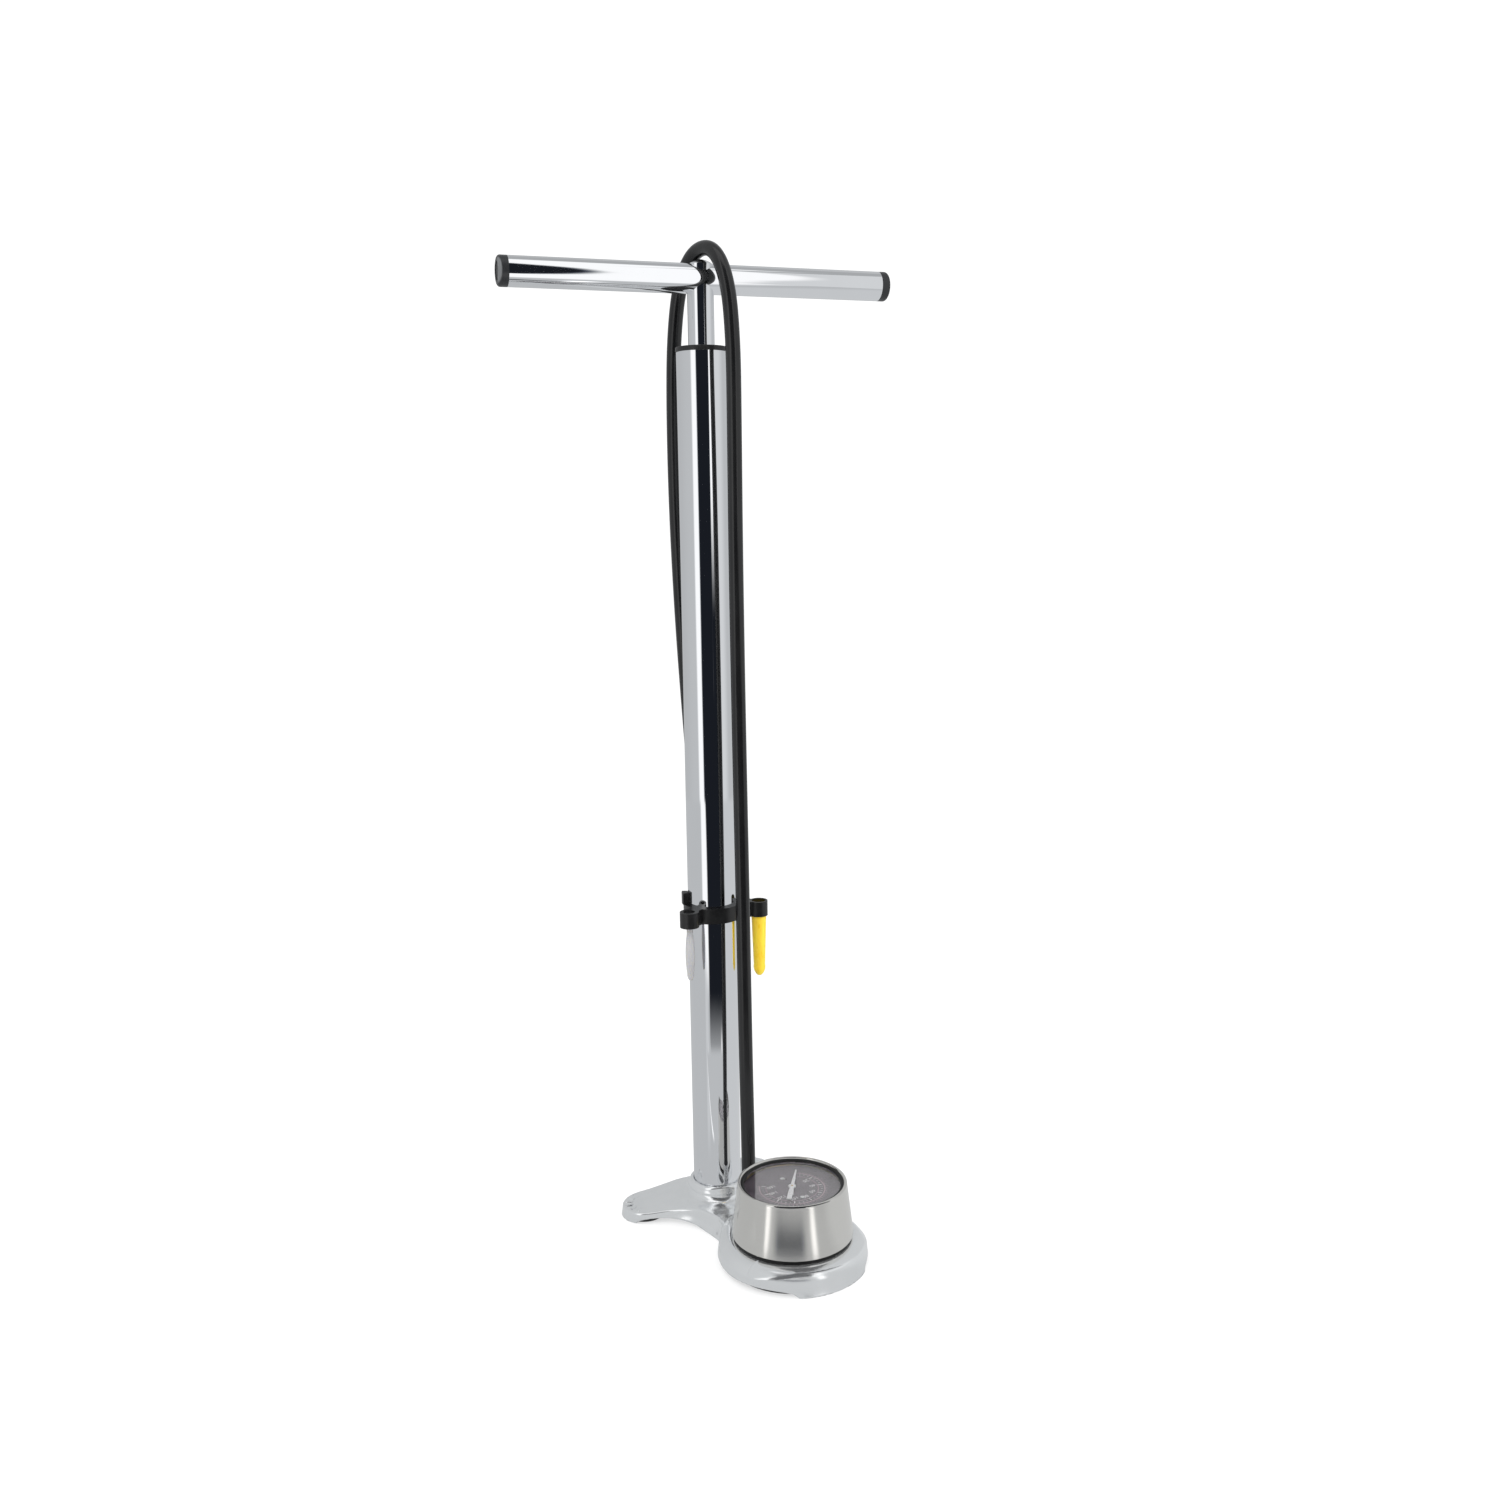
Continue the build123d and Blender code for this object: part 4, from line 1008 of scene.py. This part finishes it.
def build_studio():
    """A round room seen only by reflected rays, brightest and darkest where a photo studio is."""
    around = 720
    near, far = np.linspace(0.001, 0.7, 141), np.linspace(0.72, STUDIO_R, 40)
    rings = [(r, GROUND_LEVEL) for r in np.concatenate([near, far])]
    rings += [(STUDIO_R, z) for z in np.linspace(0.01, STUDIO_TOP - 0.01, 110)]
    rings += [(r, STUDIO_TOP) for r in np.linspace(STUDIO_R, 0.001, 50)]
    rings = np.array(rings)
    angle = np.arange(around) * 2 * math.pi / around
    x = rings[:, 0][:, None] * np.cos(angle)
    y = rings[:, 0][:, None] * np.sin(angle)
    z = np.broadcast_to(rings[:, 1][:, None], x.shape)
    points = np.stack([x, y, z], 2).reshape(-1, 3)
    mirrored_only("studio", points, grid_faces(len(rings), around, True), studio_light(*points.T))


def leaning_card(name, lean, turn, height, light, cover):
    """A card for the barrel to mirror, in a plane through the handle's lower edge so the handle misses it."""
    slope = (camera_spot.z - height) / math.hypot(camera_spot.x, camera_spot.y)
    away = np.radians(turn) + camera_angle
    start_x = barrel_r * np.cos(np.radians(turn / 2) + camera_angle)
    start_y = barrel_r * np.sin(np.radians(turn / 2) + camera_angle)
    reach = (-lean * (handle_height - height) - HANDLE_EDGE - start_y) / (np.sin(away) + lean * slope)
    spots = [start_x + reach * np.cos(away), start_y + reach * np.sin(away), height - slope * reach]
    points = np.stack(spots, 2).reshape(-1, 3)
    mirrored_only(name, points, grid_faces(*turn.shape, False), light.ravel(), cover.ravel())


def build_cards():
    """Two cards for the barrel: a dark band that fades out downwards, and a grey one below it."""
    turn, height = np.meshgrid(np.linspace(-30, 56, 173), np.linspace(0.105, 0.56, 115))
    left_end = -20 - 5.5 * ramp(0.25, 0.42, height)
    left_part = ramp(left_end - 3, left_end + 3, turn) * ramp(0.46, 0.38, height)
    right_part = ramp(25, 29, turn) * ramp(47, 44, turn) * ramp(0.54, 0.44, height)
    cover = np.maximum(left_part, right_part) * ramp(0.101, 0.174, height)
    leaning_card("dark_card", 0.3, turn, height, np.full(turn.shape, BLACK), cover)
    turn, height = np.meshgrid(np.linspace(-44, 60, 105), np.linspace(0.055, 0.135, 33))
    cover = ramp(-44, -38, turn) * ramp(60, 54, turn) * ramp(0.055, 0.065, height)
    cover = cover * ramp(0.135, 0.125, height)
    leaning_card("grey_card", 0.15, turn, height, np.full(turn.shape, CARD_GREY), cover)


FLOOR_HALF = 80
LIGHT_AIM = (0, 0, 0.3)


def build_floor():
    """Plain pale paper that gives off about half of its brightness itself, so shadows on it stay faint."""
    corners = [(x * FLOOR_HALF, y * FLOOR_HALF, 0) for x, y in ((-1, -1), (1, -1), (1, 1), (-1, 1))]
    floor = add_mesh("floor", corners, [(0, 1, 2, 3)])
    paper = Surface("paper", (0.5, 0.5, 0.5), 0.9, Specular_IOR_Level=0.0, Emission_Color=(1, 1, 1, 1))
    paper.shader.inputs["Emission Strength"].default_value = 0.5
    paper.vary_colour(paper.noise(paper.stretched((3, 3, 3))), (0.49, 0.49, 0.49), (0.5, 0.5, 0.5))
    dress(floor, paper.material)
    floor.visible_glossy = False


def add_area(name, spot, size, power):
    """Round soft light, aimed just below the pump's middle."""
    light = bpy.data.lights.new(name, "AREA")
    light.shape = "DISK"
    light.size = size
    light.energy = power
    lamp = bpy.data.objects.new(name, light)
    lamp.location = spot
    lamp.rotation_euler = (Vector(LIGHT_AIM) - Vector(spot)).to_track_quat("-Z", "Y").to_euler()
    lamp.visible_glossy = False
    lamp.visible_camera = False
    bpy.context.scene.collection.objects.link(lamp)


def build_sky():
    """Even white light from everywhere."""
    world = bpy.data.worlds.new("studio_air")
    bpy.context.scene.world = world
    world.use_nodes = True
    sky = world.node_tree.nodes["Background"]
    sky.inputs["Color"].default_value = (1, 1, 1, 1)
    sky.inputs["Strength"].default_value = 1.1


build_studio()
build_cards()
build_floor()
add_area("key", (-1.6, -1.2, 2.4), 1.6, 30)
add_area("fill", (1.5, -1.4, 1.8), 1.8, 14)
build_sky()
bpy.context.scene.view_settings.view_transform = "Standard"
